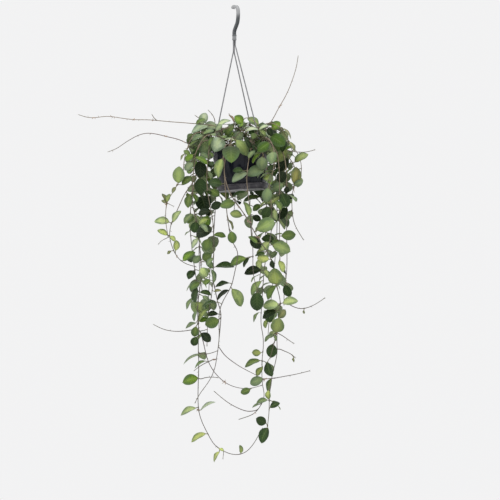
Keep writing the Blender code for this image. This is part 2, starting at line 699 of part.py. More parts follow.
def keepRoot(points, fixed):
    """The thinned line, with every point kept that stands in the soil."""
    if not fixed:
        return thinned(points, lineLimit)
    return np.vstack([points[:1], thinned(points[fixed - 1:], lineLimit)])


def growLines():
    lines = []
    roots = []
    for plant, (name, stem) in enumerate(stems.items()):
        route, root = rootedRoute(stem)
        roots.append(root)
        points = smooth(route, stemStep)
        for index in range(rootPoints):
            height = (potFrameBack @ Vector(points[index])).z
            points[index] = potFrame @ Vector((root.x, root.y, height))
        lines.append(dict(name=name, plant=plant, fixed=rootPoints, points=points, main=True))
        for shoot in stem.get("shoots", []):
            points = smooth([seen(*place) for place in shoot], stemStep)
            lines.append(dict(name=name, plant=plant, fixed=0, points=points, main=False))
    relax(lines)
    for line in lines:
        if not line["main"]:
            plant = line["plant"]
            others = [other["points"] for other in lines if other["plant"] == plant and other is not line]
            trunk = np.vstack(others)
            nearest = trunk[np.linalg.norm(trunk - line["points"][0], axis=1).argmin()]
            line["points"] = np.vstack([nearest, line["points"][1:]])
    return lines, roots


def thinned(points, limit):
    """The fewest points that keep a line within this limit of its own course."""
    if len(points) < 3:
        return points
    run = points[-1] - points[0]
    length = np.linalg.norm(run) + 1e-9
    offset = points - points[0]
    along = np.clip(offset @ run / length**2, 0, 1)
    away = np.linalg.norm(offset - along[:, None] * run, axis=1)
    worst = away.argmax()
    if away[worst] < limit:
        return np.array([points[0], points[-1]])
    return np.vstack([thinned(points[:worst + 1], limit)[:-1], thinned(points[worst:], limit)])


# Leaves that show from the front: base, tip and width of each, as the eye sees it
shownLeaves = [
    (246, 125, 237.5, 118, 9.5), (261, 126, 250, 118, 8), (258, 126, 267, 124.5, 4),
    (272, 129, 280.5, 121.5, 9), (282, 128, 292, 138, 3), (275, 134, 284, 151, 14),
    (272, 141, 260.5, 149, 10), (289, 142, 295.5, 151, 4.5), (287, 150, 277, 162, 10),
    (295, 162, 308, 153, 8), (294, 184, 297, 166.5, 11), (288, 158, 277, 172, 12), (284, 171, 279, 183, 10),
    (294, 185, 303, 181, 6.5), (289, 184, 287, 191, 5.5), (201, 124, 206, 112.5, 9),
    (208, 126, 190.5, 131.5, 8), (217, 127, 204, 124.5, 9), (218, 126, 230, 119, 5.5),
    (203, 136, 206, 157, 13), (222, 136, 216.5, 150, 15), (236, 141, 224, 138.5, 3),
    (233, 126, 225, 137, 8), (246, 130, 236, 139, 9.5), (236, 140, 248, 155, 11.5),
    (231, 146, 231.5, 162.5, 19.5), (222, 159, 217, 177, 9.5), (247, 173, 231.5, 180.5, 8.5),
    (243, 171, 233, 170, 6), (262, 157, 262, 170, 11), (267, 170, 249, 174.5, 11), (261, 178, 259, 198, 11),
    (283, 184, 272, 190, 9.5), (193, 155, 185, 160.5, 6.5), (193, 156, 205, 162, 6),
    (201, 161, 200, 178, 12), (200, 178, 201, 195, 12), (195, 162, 187, 169.5, 7.5),
    (197, 143, 194, 155, 6), (202, 136, 192, 140, 5), (199, 188, 186, 190, 8), (222, 184, 208, 182, 9),
    (266, 130, 279, 135, 6), (178.5, 183, 179, 166, 12), (182, 185, 192, 176, 7.5),
    (186, 153, 180, 160, 2.5), (176, 187, 172, 193, 4), (166, 203, 163, 193, 4),
    (167, 202, 169.5, 193.5, 5), (165.5, 203, 161.5, 200, 3), (169, 222, 154, 220.5, 7.8),
    (173, 222, 180, 210, 6.5), (167, 235, 157.5, 229.5, 5.5), (170, 236, 175.5, 241, 4.5),
    (175.5, 250.5, 177, 240, 6.5), (171, 251, 167, 254, 3), (180.5, 263.5, 192, 254, 7.5),
    (190, 195, 187.5, 208, 8), (200, 194, 204, 210, 18), (210, 211, 198, 213.5, 7),
    (195.5, 212, 186, 220.5, 6.5), (208, 219, 198.5, 224, 6), (196, 222, 194, 233, 9.5),
    (192, 232.5, 187, 236, 1.5), (215, 228, 199, 236, 11), (214, 235, 226, 236, 5.5),
    (198, 239, 191.5, 248, 5.5), (209, 239, 205, 251, 10.5), (200, 256, 193, 263, 7),
    (201, 261, 210, 256, 9.5), (213, 258, 207, 265, 5), (211, 190, 219.5, 196, 8), (221, 203, 211, 208, 8),
    (235, 203, 220, 206, 9.5), (213, 266, 232, 264.5, 6.2), (201, 268, 207, 277, 9.5),
    (210, 280, 203.5, 284, 5), (203, 281, 192.5, 287, 7), (194.5, 282.5, 185.5, 290.5, 1.6),
    (197, 288, 194, 303, 7), (211, 295, 200, 291, 4.5), (213.5, 283, 212.5, 269, 4.5),
    (212, 292.5, 219, 291, 2.8), (231, 281.5, 217, 284.5, 4.2), (217.5, 300, 228, 289, 4.2),
    (216, 302, 201.5, 305.5, 3), (194, 298, 185, 309, 4.5), (199, 321, 207, 308, 5.5),
    (197, 311, 193, 321, 4), (218, 314, 206.5, 314.5, 5), (199, 321, 209, 319, 5),
    (218.5, 320, 205, 325, 11.5), (196, 323, 185, 327.5, 3.5), (196, 326.5, 194, 337, 8),
    (201, 333, 211, 341.5, 8.5), (196, 337, 193, 346, 8), (201, 354.5, 181, 363.5, 1.6),
    (205, 361, 194, 367, 2.4), (198, 378, 182, 382, 10), (196, 408, 180, 414.5, 4.6),
    (201, 410, 215, 401, 1.8), (207.5, 431, 192.5, 438.5, 4.6), (221, 450, 214.5, 460, 3.2),
    (217, 449, 222, 451, 2.5), (241, 453, 240.5, 445, 4), (250, 389.5, 240.5, 393, 6.8),
    (232, 289, 242, 306, 10), (228.5, 220, 233.5, 229.5, 2.5), (235, 229, 237, 241, 9),
    (245, 217, 233, 214, 8), (249, 216, 245, 201.5, 6), (259, 197, 243, 200, 6),
    (261, 205, 252, 210.5, 6.5), (246, 192, 232, 196, 3.5), (261, 220, 252, 216, 7),
    (257, 230, 274, 220, 13.5), (269, 207, 263.5, 218, 9.5), (268, 188, 266, 202, 10),
    (281.5, 193, 288, 207, 10.5), (287, 208, 279.5, 219, 8.5), (280, 196, 267, 204, 5),
    (275, 209, 276, 220.5, 5.5), (243, 235.5, 251.5, 248, 10.5), (257, 243, 249, 236, 5),
    (269, 242, 261, 250, 8), (274, 240, 261, 238, 8), (273, 245, 290.5, 251, 12),
    (281.5, 236, 296, 234.5, 10), (283, 234, 273, 235.5, 1.5), (269, 259, 257, 258, 8.5),
    (268, 253, 258, 255, 3), (259, 256, 256.5, 269, 6.5), (246, 258, 230, 264.5, 8.5),
    (249, 258, 243, 267, 4), (272, 260, 273, 268.5, 5), (279, 261, 284, 272, 6.5),
    (286, 274, 283, 265, 2.5), (261, 270, 244, 272.5, 8.5), (265, 277, 254, 291, 6.5),
    (257, 292, 257, 311, 13.5), (278, 304, 263, 306, 9.5), (276, 311, 262, 317.5, 7),
    (276, 285.5, 266.5, 299, 6.5), (276, 284, 274, 268.5, 14.5), (285, 285, 290, 297, 8.5),
    (283, 303, 298, 300, 8), (258.5, 312.5, 253, 322, 2.6), (267, 320, 264.5, 328.5, 4.6),
    (276, 332, 279, 318, 13.5), (276, 320, 283, 312, 8), (274, 334.5, 264, 341, 3.5),
    (274, 335, 276.5, 341, 3), (271, 341.5, 269.5, 355.5, 10.8), (263.5, 353, 254.5, 352.5, 7),
    (261.5, 359, 246, 364.5, 4.8), (264.5, 376.5, 252, 382, 9), (265, 364, 258, 372.5, 5.5),
    (267.5, 362, 271, 377, 8.5), (271.5, 379, 267.5, 393, 5), (268.5, 390.5, 268, 399.5, 5.6),
    (267, 400, 256, 402.5, 4.2), (259, 404.5, 252, 407, 1.5), (267.5, 408, 277, 402.5, 5.5),
    (266, 423, 256, 418.5, 9.2), (268, 428, 260, 443, 9.5), (294, 354, 294, 359, 2),
    (304, 310, 304, 314, 2),
]


class Leaf:
    """A leaf's root on its stem, the base and direction of its blade, its face and its size."""

    def __init__(self, root, base, along, face, length, width):
        self.root = root
        self.base = base
        self.along = along.normalized()
        self.side = face.cross(self.along).normalized()
        self.face = self.along.cross(self.side).normalized()
        self.length = length
        self.width = width

    def points(self, extra=0.0, sink=0.0):
        """The stations of the leaf: the root's point, three rings of four, and the tip's point."""
        first = self.root - (self.base - self.root).normalized() * sink
        thin = 1.3 * mm + extra
        start = self.base
        side = self.side * thin
        face = self.face * thin
        rings = [[start - side, start + face, start + side, start - face]]
        for place, share, full in ((0.22, 0.92, 1.0), (0.72, 0.95, 0.8)):
            arch = self.face * self.length * (0.10 * math.sin(place * math.pi) - 0.10 * place)
            middle = self.base + self.along * self.length * place + arch
            half = self.width / 2 * share + extra
            thick = leafThick / 2 * full + extra
            lift = self.face * half * 0.16
            rings.append([
                middle - self.side * half + lift, middle + self.face * thick,
                middle + self.side * half + lift, middle - self.face * thick,
            ])
        tip = self.base + self.along * (self.length + extra) - self.face * self.length * 0.10
        return first, rings, tip

    def tree(self, bladeOnly):
        """A slightly swollen copy of the leaf, to test what it would touch."""
        first, rings, tip = self.points(extra=clearance)
        if bladeOnly:
            first = self.base.lerp(self.base + self.along * self.length, 0.06)
            rings = rings[1:]
        corners = [first]
        for ring in rings:
            corners += ring
        corners.append(tip)
        faces = []
        for corner in range(4):
            after = (corner + 1) % 4
            faces.append((0, 1 + after, 1 + corner))
            for ring in range(len(rings) - 1):
                low = 1 + ring * 4
                faces.append((low + corner, low + after, low + 4 + after))
                faces.append((low + corner, low + 4 + after, low + 4 + corner))
            low = 1 + (len(rings) - 1) * 4
            faces.append((low + corner, low + after, len(corners) - 1))
        return BVHTree.FromPolygons(corners, faces), corners

    def build(self):
        """A four-sided sphere of five rows, moved to the leaf's stations."""
        bm = bmesh.new()
        bmesh.ops.create_uvsphere(bm, u_segments=4, v_segments=4, radius=1)
        first, rings, tip = self.points(sink=0.9 * mm)
        for vert in bm.verts:
            row = round(math.acos(max(-1, min(1, vert.co.z))) / math.pi * 4)
            if row == 0:
                vert.co = first
            elif row == 4:
                vert.co = tip
            else:
                corner = round(math.atan2(vert.co.y, vert.co.x) / (math.pi / 2)) % 4
                vert.co = rings[row - 1][corner]
        bmesh.ops.triangulate(bm, faces=bm.faces)
        return addBmesh("leaf", bm, None)


def box(corners):
    low = [min(corner[axis] for corner in corners) for axis in range(3)]
    high = [max(corner[axis] for corner in corners) for axis in range(3)]
    return low, high


class Crowd:
    """What is already there, so that a new leaf can be tested against it."""

    def __init__(self):
        self.things = []

    def add(self, tree, corners, plant):
        self.things.append((tree, *box(corners), plant))

    def blocks(self, leaf, plant):
        whole, corners = leaf.tree(False)
        blade, bladeCorners = leaf.tree(True)
        low, high = box(corners)
        for tree, bottom, top, owner in self.things:
            if all(bottom[axis] <= high[axis] and low[axis] <= top[axis] for axis in range(3)):
                if tree.overlap(blade if owner == plant else whole):
                    return True
        return False


def meshTree(thing):
    corners = [thing.matrix_world @ vert.co for vert in thing.data.vertices]
    return BVHTree.FromPolygons(corners, [list(face.vertices) for face in thing.data.polygons]), corners


def stemChoices(start, ahead, lines):
    """The ten places on the stems that suit a leaf best whose blade starts here and points ahead."""
    choices = []
    for line in lines:
        for index, (point, place) in enumerate(zip(line["points"], line["spots"])):
            gap = (start - place).length
            if index > line["fixed"] and 0.3 < gap < 10:
                behind = (start - place).dot(ahead)
                choices.append((abs(gap - 2.6) - behind * 0.3 + point[1] * 12, line, index))
    choices.sort(key=lambda choice: choice[0])
    tries = []
    for cost, line, index in choices:
        if all(other is not line or abs(index - near) > 1 for other, near in tries):
            tries.append((line, index))
    return tries[:10]


def shownLeaf(view, lines, crowd):
    """Grows the leaf seen between its two marks from the stem that fits it best, and gives both."""
    start = Vector(view[0:2])
    way = Vector(view[2:4]) - start
    shape = view[4] / way.length
    ratio = min(max(shape, leafRatio), broadest)
    length = min(max(way.length, view[4] / ratio) * unit, longest)
    lean = math.acos(min(1, way.length * unit / length))
    roll = math.acos(min(1, view[4] * unit / (length * ratio)))
    flat = Vector((way.x, 0, -way.y)).normalized()
    tries = stemChoices(start, way.normalized(), lines)
    for shrink in (1.0, 0.88, 0.75):
        for line, index in tries:
            root = Vector(line["points"][index])
            for toward, turn in ((1, 1), (1, -1), (-1, 1), (-1, -1)):
                along = flat * math.cos(lean) + Vector((0, -toward * math.sin(lean), 0))
                face = Vector((0, -1, 0))
                face = (face - along * face.dot(along)).normalized()
                face = Matrix.Rotation(roll * turn, 3, along) @ face
                if face.z < -0.15 and roll > 0.3 and turn == 1:
                    continue
                for shift in (3.0, 6.0, 0.0, 10.0, -4.0, 15.0):
                    base = seen(start.x, start.y, (root.y - shift * mm) * 100)
                    stalk = base - root
                    if stalk.length > stalkReach:
                        base = root + stalk * (stalkReach / stalk.length)
                    if stalk.length < 4 * mm:
                        base = root + (stalk + along * 6 * mm).normalized() * 5 * mm
                    if stalk.normalized().dot(along) < 0.15:
                        outward = Vector((0, -0.5 * toward, 0))
                        base = root + (stalk.normalized() + along * 1.3 + outward).normalized() * 8 * mm
                    size = length * shrink
                    leaf = Leaf(root, base, along, face, size, size * ratio)
                    if not crowd.blocks(leaf, line["plant"]):
                        return leaf, line
    return None


def inCrown(point):
    """True over the pot, where the stems arch and the leaves lie thick."""
    inner = potFrameBack @ point
    return inner.xy.length < crownRadius and inner.z > crownLow


def suitsView(leaf, shown):
    """True for a leaf that neither stands out from the outline seen nor hides the pot or a shown leaf."""
    middle = leaf.base + leaf.along * leaf.length * 0.5
    for point in (middle, leaf.base + leaf.along * leaf.length):
        place = spot(point)
        if place.y < np.interp(place.x, skylineAcross, skylineDown):
            return False
        if place.y > curtainTop and not any(low < place.x < high for low, high in curtains):
            return False
        left, right, top, bottom = potView
        if left < place.x < right and top < place.y < bottom and point.y < 0:
            return False
    place = spot(middle)
    for other in shown:
        centre = other.base + other.along * other.length * 0.5
        apart = (spot(centre) - place).length * unit
        if middle.y < centre.y and apart < (other.length + leaf.length) * 0.32:
            return False
    return True


def fillLeaves(lines, crowd, rng, shown):
    """Adds leaves at even steps along the stems, turned a quarter each time, where there is room."""
    grown = []
    for line in lines:
        if not line["leafy"]:
            continue
        points = line["points"]
        along = 0.0
        turn = rng.uniform(0, math.pi)
        spacing = rng.uniform(*crownSteps) * mm
        for index in range(line["fixed"] + 1, len(points) - 1):
            along += np.linalg.norm(points[index] - points[index - 1])
            if along < spacing:
                continue
            root = Vector(points[index])
            crown = inCrown(root)
            thick = crown or spot(root).y < bushLow
            veiled = line["hidden"] and not thick
            along = 0.0
            spacing = rng.uniform(*(crownSteps if thick else veiledSteps if veiled else openSteps)) * mm
            turn += math.pi / 2 + rng.uniform(-0.3, 0.3)
            tangent = (Vector(points[index + 1]) - root).normalized()
            side = tangent.orthogonal().normalized()
            for half in (0,) if veiled else (0, math.pi):
                for attempt in range(14 if thick else 7):
                    spin = Matrix.Rotation(turn + half + rng.uniform(-0.5, 0.5), 3, tangent)
                    out = (spin @ side).normalized()
                    if veiled and out.y < -0.1:
                        out.y = -out.y
                    drop = rng.uniform(-0.2, 0.6) if crown else rng.uniform(0.1, 0.9)
                    way = (out * 0.9 + Vector((0, 0, -drop)) + tangent * 0.25).normalized()
                    base = root + (out + tangent * 0.3).normalized() * rng.uniform(6, 10) * mm
                    size = rng.uniform(*fillSizes) * mm * (1 - 0.035 * attempt)
                    face = (Vector((0, 0, 1)) + out * 0.6).normalized()
                    face = Matrix.Rotation(rng.uniform(-0.5, 0.5), 3, way) @ face
                    leaf = Leaf(root, base, way, face, size, size * leafRatio)
                    if veiled and not coveredSpot(spot(base + way * size / 2)):
                        continue
                    if not suitsView(leaf, shown):
                        continue
                    if not crowd.blocks(leaf, line["plant"]):
                        tree, corners = leaf.tree(False)
                        crowd.add(tree, corners, line["plant"])
                        grown.append((leaf, line))
                        break
    return grown


def coveredSpot(place):
    """True where a shown leaf lies in front of this spot."""
    for view in shownLeaves:
        start = Vector(view[0:2])
        way = Vector(view[2:4]) - start
        aside = place - start
        along = aside.dot(way) / way.length
        if -1 < along < way.length + 1 and abs(aside.cross(way)) / way.length < view[4] / 2 + 1:
            return True
    return False


for name in legAzimuths:
    buildLeg(name)
buildHook()
buildPot()
buildSaucer()
lines, roots = growLines()
buildSoil(roots)

crowd = Crowd()
for thing in list(collection.objects):
    crowd.add(*meshTree(thing), -1)
for line in lines:
    line["hidden"] = "back" not in line["name"]
    line["leafy"] = line["main"] and "runner" not in line["name"]
    line["thin"] = [Vector(point) for point in keepRoot(line["points"], line["fixed"])]
    line["points"] = np.array([onLine(Vector(point), line["thin"]) for point in line["points"]])
    line["spots"] = [spot(Vector(point)) for point in line["points"]]
    swollen = addTube("swollen", line["thin"], stemRadius + clearance, 4)
    crowd.add(*meshTree(swollen), line["plant"])
    bpy.data.objects.remove(swollen, do_unlink=True)

leaves = []
for view in sorted(shownLeaves, key=lambda view: -math.dist(view[0:2], view[2:4]) * view[4]):
    found = shownLeaf(view, lines, crowd)
    if found:
        leaf, line = found
        tree, corners = leaf.tree(False)
        crowd.add(tree, corners, line["plant"])
        leaves.append((leaf, line))
leaves += fillLeaves(lines, crowd, random.Random(4), [leaf for leaf, line in leaves])

for plant, name in enumerate(stems):
    own = [line for line in lines if line["plant"] == plant]
    tubes = [addTube(name, line["thin"], stemRadius, 4, "vine") for line in own]
    tubes[0].name = name
    blades = [leaf.build() for leaf, line in leaves if line["plant"] == plant]
    joinAll(tubes[0], tubes[1:] + blades, "UNION")
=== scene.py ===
import math
import random
from itertools import product

import bmesh
import bpy
import numpy as np
from mathutils import Matrix, Vector
from mathutils.bvhtree import BVHTree


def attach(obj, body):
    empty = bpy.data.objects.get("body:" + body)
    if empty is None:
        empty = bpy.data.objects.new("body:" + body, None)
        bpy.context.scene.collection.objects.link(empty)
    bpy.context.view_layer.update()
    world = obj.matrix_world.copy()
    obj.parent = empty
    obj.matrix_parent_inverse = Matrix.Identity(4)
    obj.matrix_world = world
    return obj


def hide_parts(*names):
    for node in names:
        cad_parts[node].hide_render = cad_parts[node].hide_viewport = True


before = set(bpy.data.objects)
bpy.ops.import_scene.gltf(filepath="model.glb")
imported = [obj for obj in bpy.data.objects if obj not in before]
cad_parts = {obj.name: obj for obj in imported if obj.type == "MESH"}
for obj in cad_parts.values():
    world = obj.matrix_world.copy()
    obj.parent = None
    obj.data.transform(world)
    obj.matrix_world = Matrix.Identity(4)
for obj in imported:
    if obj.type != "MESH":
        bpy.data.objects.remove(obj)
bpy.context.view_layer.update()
bpy.context.view_layer.update()

mm = 0.001
scene = bpy.context.scene
collection = scene.collection

# The seeds of the soil's bits, of the leaves' kinds, and of the first and the second pass of leaves
seeds = {"bits": 11, "kinds": 9, "first": 4, "second": 5}

# How the plant is looked at: one unit is what the eye sees as a step across, at the hook's distance
sight = {
    "distance": 2600 * mm,
    "unit": 2.5 * mm,
    "middle": Vector((250.0, 250.0)),
    "seat": Vector((235.0, 8.0)),
    "across": 500,
}
unit = sight["unit"]


def seen(across, down, depth=0.0):
    # The point in metres that the eye sees at this spot, at this depth in centimetres
    spread = unit * (1 + depth * 10 * mm / sight["distance"])
    x = (sight["middle"].x - sight["seat"].x) * unit + (across - sight["middle"].x) * spread
    z = (sight["seat"].y - sight["middle"].y) * unit - (down - sight["middle"].y) * spread
    return Vector((x, depth * 10 * mm, z))


def spot(point):
    # Where the eye sees a point: across, down
    spread = unit * (1 + point.y / sight["distance"])
    across = sight["middle"].x + (point.x - (sight["middle"].x - sight["seat"].x) * unit) / spread
    down = sight["middle"].y - (point.z - (sight["seat"].y - sight["middle"].y) * unit) / spread
    return Vector((across, down))


# The camera, the soft lights and the floor
studio = {
    "sensor": 36,
    "floor": -1.75,
    "floorRadius": 1.15,
    "sky": (0.90, 0.90, 0.905),
    "skyStrength": 0.99,
    "lights": {
        "overhead": dict(place=(0.1, -0.5, 1.5), size=2.6, power=30),
        "left": dict(place=(-2.4, -1.6, 0.3), size=2.0, power=16),
        "right": dict(place=(2.4, -1.4, 0.2), size=2.0, power=12),
        "behind": dict(place=(0.2, 2.4, 0.4), size=2.4, power=12),
    },
}


def buildStudio():
    eye = seen(*sight["middle"])
    camera = bpy.data.cameras.new("camera")
    camera.sensor_width = studio["sensor"]
    camera.lens = studio["sensor"] * sight["distance"] / (sight["across"] * unit)
    cameraThing = bpy.data.objects.new("camera", camera)
    cameraThing.location = eye - Vector((0, sight["distance"], 0))
    cameraThing.rotation_euler = (math.radians(90), 0, 0)
    collection.objects.link(cameraThing)
    scene.camera = cameraThing
    aim = Vector((0, 0, eye.z))
    for name, light in studio["lights"].items():
        lamp = bpy.data.lights.new(name, "AREA")
        lamp.shape = "DISK"
        lamp.size = light["size"]
        lamp.energy = light["power"]
        thing = bpy.data.objects.new(name, lamp)
        thing.location = light["place"]
        thing.rotation_euler = (aim - thing.location).to_track_quat("-Z", "Y").to_euler()
        collection.objects.link(thing)
    world = bpy.data.worlds.new("studio")
    world.use_nodes = True
    sky = world.node_tree.nodes["Background"]
    sky.inputs["Color"].default_value = (*studio["sky"], 1)
    sky.inputs["Strength"].default_value = studio["skyStrength"]
    scene.world = world
    scene.view_settings.view_transform = "Standard"
    bm = bmesh.new()
    bmesh.ops.create_circle(bm, cap_ends=True, segments=96, radius=studio["floorRadius"])
    bmesh.ops.translate(bm, verts=bm.verts, vec=(0, 0, studio["floor"]))
    floor = addBmesh("floor", bm, floorFinish())


def tint(*levels):
    # A colour as seen on a screen, in levels of 0 to 255, made linear
    return tuple(((level / 255 + 0.055) / 1.055) ** 2.4 for level in levels)


palette = {
    "floorDark": (0.80, 0.80, 0.80), "floorLight": (0.84, 0.84, 0.845),
    "hookDark": tint(56, 60, 63), "hookLight": tint(78, 82, 84), "hookPale": tint(150, 151, 152),
    "legDark": tint(96, 97, 99), "legLight": tint(128, 128, 130), "handled": tint(150, 150, 152),
    "potDark": tint(12, 15, 24), "potLight": tint(22, 26, 37), "dust": tint(150, 145, 140),
    "saucerDark": tint(40, 38, 44), "saucerLight": tint(58, 54, 62), "driedWater": tint(170, 165, 165),
    "peatDark": tint(28, 20, 15), "peatLight": tint(84, 64, 48), "fibre": tint(120, 92, 64),
    "barkDark": tint(38, 26, 18), "barkLight": tint(128, 94, 64),
    "paleGrain": tint(205, 200, 190), "crack": tint(25, 18, 13),
    "stemLow": tint(98, 94, 86), "stemHigh": tint(136, 122, 102), "shoot": tint(84, 68, 68),
    "youngStem": tint(98, 94, 72), "bud": tint(178, 152, 132), "streak": tint(64, 53, 48),
    "lenticel": tint(160, 150, 132),
    "margin": tint(80, 103, 70), "fleck": tint(186, 194, 166), "vein": tint(176, 190, 146),
    "rib": tint(180, 188, 140), "underside": tint(150, 162, 126), "stalk": tint(104, 100, 74),
}

# What a leaf's own colour is multiplied by where it is duller, lighter, mottled or near its rim
leafShades = {
    "dusky": (0.5, 0.62, 0.5),
    "bright": (1.5, 1.5, 1.08),
    "mottled": (1.45, 1.4, 1.15),
    "rim": (0.5, 0.52, 0.42),
}


class Link:
    # A number or colour that varies over a surface. Arithmetic on it adds Math nodes.
    def __init__(self, finish, socket):
        self.finish = finish
        self.socket = socket

    def math(self, operation, *values):
        return self.finish.node("ShaderNodeMath", {"operation": operation}, dict(enumerate(values)))

    def __add__(self, other):
        return self.math("ADD", self, other)

    def __mul__(self, other):
        return self.math("MULTIPLY", self, other)

    def __sub__(self, other):
        return self.math("SUBTRACT", self, other)

    def __rsub__(self, other):
        return self.math("SUBTRACT", other, self)

    def __pow__(self, other):
        return self.math("POWER", self, other)

    def __abs__(self):
        return self.math("ABSOLUTE", self)

    __radd__ = __add__
    __rmul__ = __mul__


class Finish:
    # A material in the making; steady values go straight on the shader's own sockets
    def __init__(self, name, **steady):
        self.material = bpy.data.materials.new(name)
        self.material.use_nodes = True
        self.tree = self.material.node_tree
        self.shader = self.tree.nodes["Principled BSDF"]
        for key, value in steady.items():
            self.shader.inputs[key.replace("_", " ")].default_value = value
        self.place = self.node("ShaderNodeTexCoord", out="Object")

    def node(self, kind, settings=None, entries=None, out=0):
        made = self.tree.nodes.new(kind)
        for key, value in (settings or {}).items():
            setattr(made, key, value)
        for key, value in (entries or {}).items():
            self.feed(made.inputs[key], value)
        return Link(self, made.outputs[out])

    def feed(self, entry, value):
        if isinstance(value, Link):
            self.tree.links.new(value.socket, entry)
        elif isinstance(value, tuple) and entry.type == "RGBA":
            entry.default_value = (*value, 1)
        else:
            entry.default_value = value

    def set(self, **values):
        for key, value in values.items():
            self.feed(self.shader.inputs[key.replace("_", " ")], value)

    def noise(self, scale, detail=3.0, place=None, rough=0.55):
        entries = {"Vector": place or self.place, "Scale": scale, "Detail": detail, "Roughness": rough}
        return self.node("ShaderNodeTexNoise", {}, entries)

    def rise(self, value, low, high):
        # 0 below low, 1 above high, and a soft step between
        settings = {"interpolation_type": "SMOOTHSTEP"}
        return self.node("ShaderNodeMapRange", settings, {"Value": value, "From Min": low, "From Max": high})

    def mix(self, share, first, second, kind="MIX"):
        settings = {"data_type": "RGBA", "blend_type": kind}
        return self.node("ShaderNodeMix", settings, {0: share, 6: first, 7: second}, 2)

    def layered(self, colour, *coats):
        # Lays coats over a colour, each given as how much of it shows and its own colour
        for share, coat in coats:
            colour = self.mix(share, colour, coat)
        return colour

    def times(self, colour, factors):
        return self.mix(1.0, colour, factors, "MULTIPLY")

    def attribute(self, name, out="Fac"):
        return self.node("ShaderNodeAttribute", {"attribute_name": name}, out=out)

    def axis(self, name, place=None):
        return self.node("ShaderNodeSeparateXYZ", {}, {0: place or self.place}, name)

    def stretched(self, scale):
        return self.node("ShaderNodeVectorMath", {"operation": "MULTIPLY"}, {0: self.place, 1: scale})

    def bump(self, height, distance, strength=1.0):
        entries = {"Height": height, "Distance": distance, "Strength": strength}
        return self.node("ShaderNodeBump", {}, entries)


def floorFinish():
    floor = Finish("floor_card", Roughness=0.85)
    speck = floor.noise(60, 4)
    floor.set(Base_Color=floor.mix(speck, palette["floorDark"], palette["floorLight"]))
    return floor.material


def hangerFinish(name, dark, light, pale=None):
    # Moulded plastic with a fine grain and handling marks; a pale one is worn at its arch and tail
    plastic = Finish(name, Specular_IOR_Level=0.45)
    cloud = plastic.noise(45, 3)
    grain = plastic.noise(1400, 2)
    marks = plastic.rise(plastic.noise(160, 5, rough=0.7), 0.56, 0.72)
    coats = [(marks * 0.35, palette["handled"])]
    if pale:
        height = plastic.axis("Z") + (cloud - 0.5) * hook["wornBlur"]
        arch = plastic.rise(height, *hook["wornAbove"])
        tail = 1 - plastic.rise(height, *hook["wornBelow"])
        coats = [(arch, pale), (tail * 0.6, pale)] + coats
    plastic.set(
        Base_Color=plastic.layered(plastic.mix(cloud, dark, light), *coats),
        Roughness=grain * 0.12 + cloud * 0.1 + 0.34,
        Normal=plastic.bump(grain + marks * 0.4, 0.08 * mm),
    )
    return plastic.material


def potFinish():
    # Glossy near-black plastic: faint rings from the mould, a little dust, fine scratches
    plastic = Finish("pot_gloss", Specular_IOR_Level=0.25)
    cloud = plastic.noise(18, 3)
    rings = plastic.noise(1.0, 2, plastic.stretched((4, 4, 260)))
    dust = plastic.rise(plastic.noise(220, 6, rough=0.75), 0.5, 0.75)
    scratch = plastic.rise(plastic.noise(90, 4, plastic.stretched((1, 1, 0.12)), 0.8), 0.58, 0.66)
    colour = plastic.mix(cloud, palette["potDark"], palette["potLight"])
    plastic.set(
        Base_Color=plastic.mix(dust * 0.05, colour, palette["dust"]),
        Roughness=dust * 0.12 + cloud * 0.08 + scratch * 0.05 + 0.15,
        Normal=plastic.bump(rings * 0.6 + scratch * 0.2 + cloud * 0.4, 0.12 * mm),
    )
    return plastic.material


def saucerFinish():
    # The same plastic as the pot, a shade warmer and duller, with the rings of dried water
    plastic = Finish("saucer_satin", Specular_IOR_Level=0.4)
    cloud = plastic.noise(25, 3)
    stain = plastic.noise(70, 5, rough=0.65)
    marks = plastic.rise(stain, 0.52, 0.6)
    inside = plastic.rise(stain, 0.6, 0.66)
    grain = plastic.noise(900, 2)
    colour = plastic.mix(cloud, palette["saucerDark"], palette["saucerLight"])
    plastic.set(
        Base_Color=plastic.mix((marks - inside) * 0.15, colour, palette["driedWater"]),
        Roughness=grain * 0.1 + marks * 0.12 + 0.28,
        Normal=plastic.bump(grain + marks * 0.5, 0.06 * mm),
    )
    return plastic.material


def soilFinish():
    # Damp peat with fibres in it
    peat = Finish("potting_soil", Specular_IOR_Level=0.2)
    lumps = peat.noise(120, 6, rough=0.7)
    fibre = peat.rise(peat.noise(300, 4, peat.stretched((1, 0.15, 1)), 0.6), 0.55, 0.7)
    colour = peat.mix(lumps, palette["peatDark"], palette["peatLight"])
    peat.set(
        Base_Color=peat.mix(fibre * 0.6, colour, palette["fibre"]),
        Roughness=lumps * 0.2 + 0.75,
        Normal=peat.bump(lumps + fibre * 0.4, 1.2 * mm),
    )
    return peat.material


def gritFinish():
    # Loose bits of bark and a few pale grains; the tone of each bit is in its attribute
    grit = Finish("soil_bits", Specular_IOR_Level=0.25)
    tone = grit.attribute("tone")
    grain = grit.noise(700, 4)
    bark = grit.mix(tone, palette["barkDark"], palette["barkLight"])
    grit.set(
        Base_Color=grit.layered(
            bark, (grit.rise(tone, 0.9, 0.92), palette["paleGrain"]), (grain * 0.35, palette["crack"])
        ),
        Roughness=grain * 0.2 + 0.7,
        Normal=grit.bump(grain, 0.5 * mm),
    )
    return grit.material


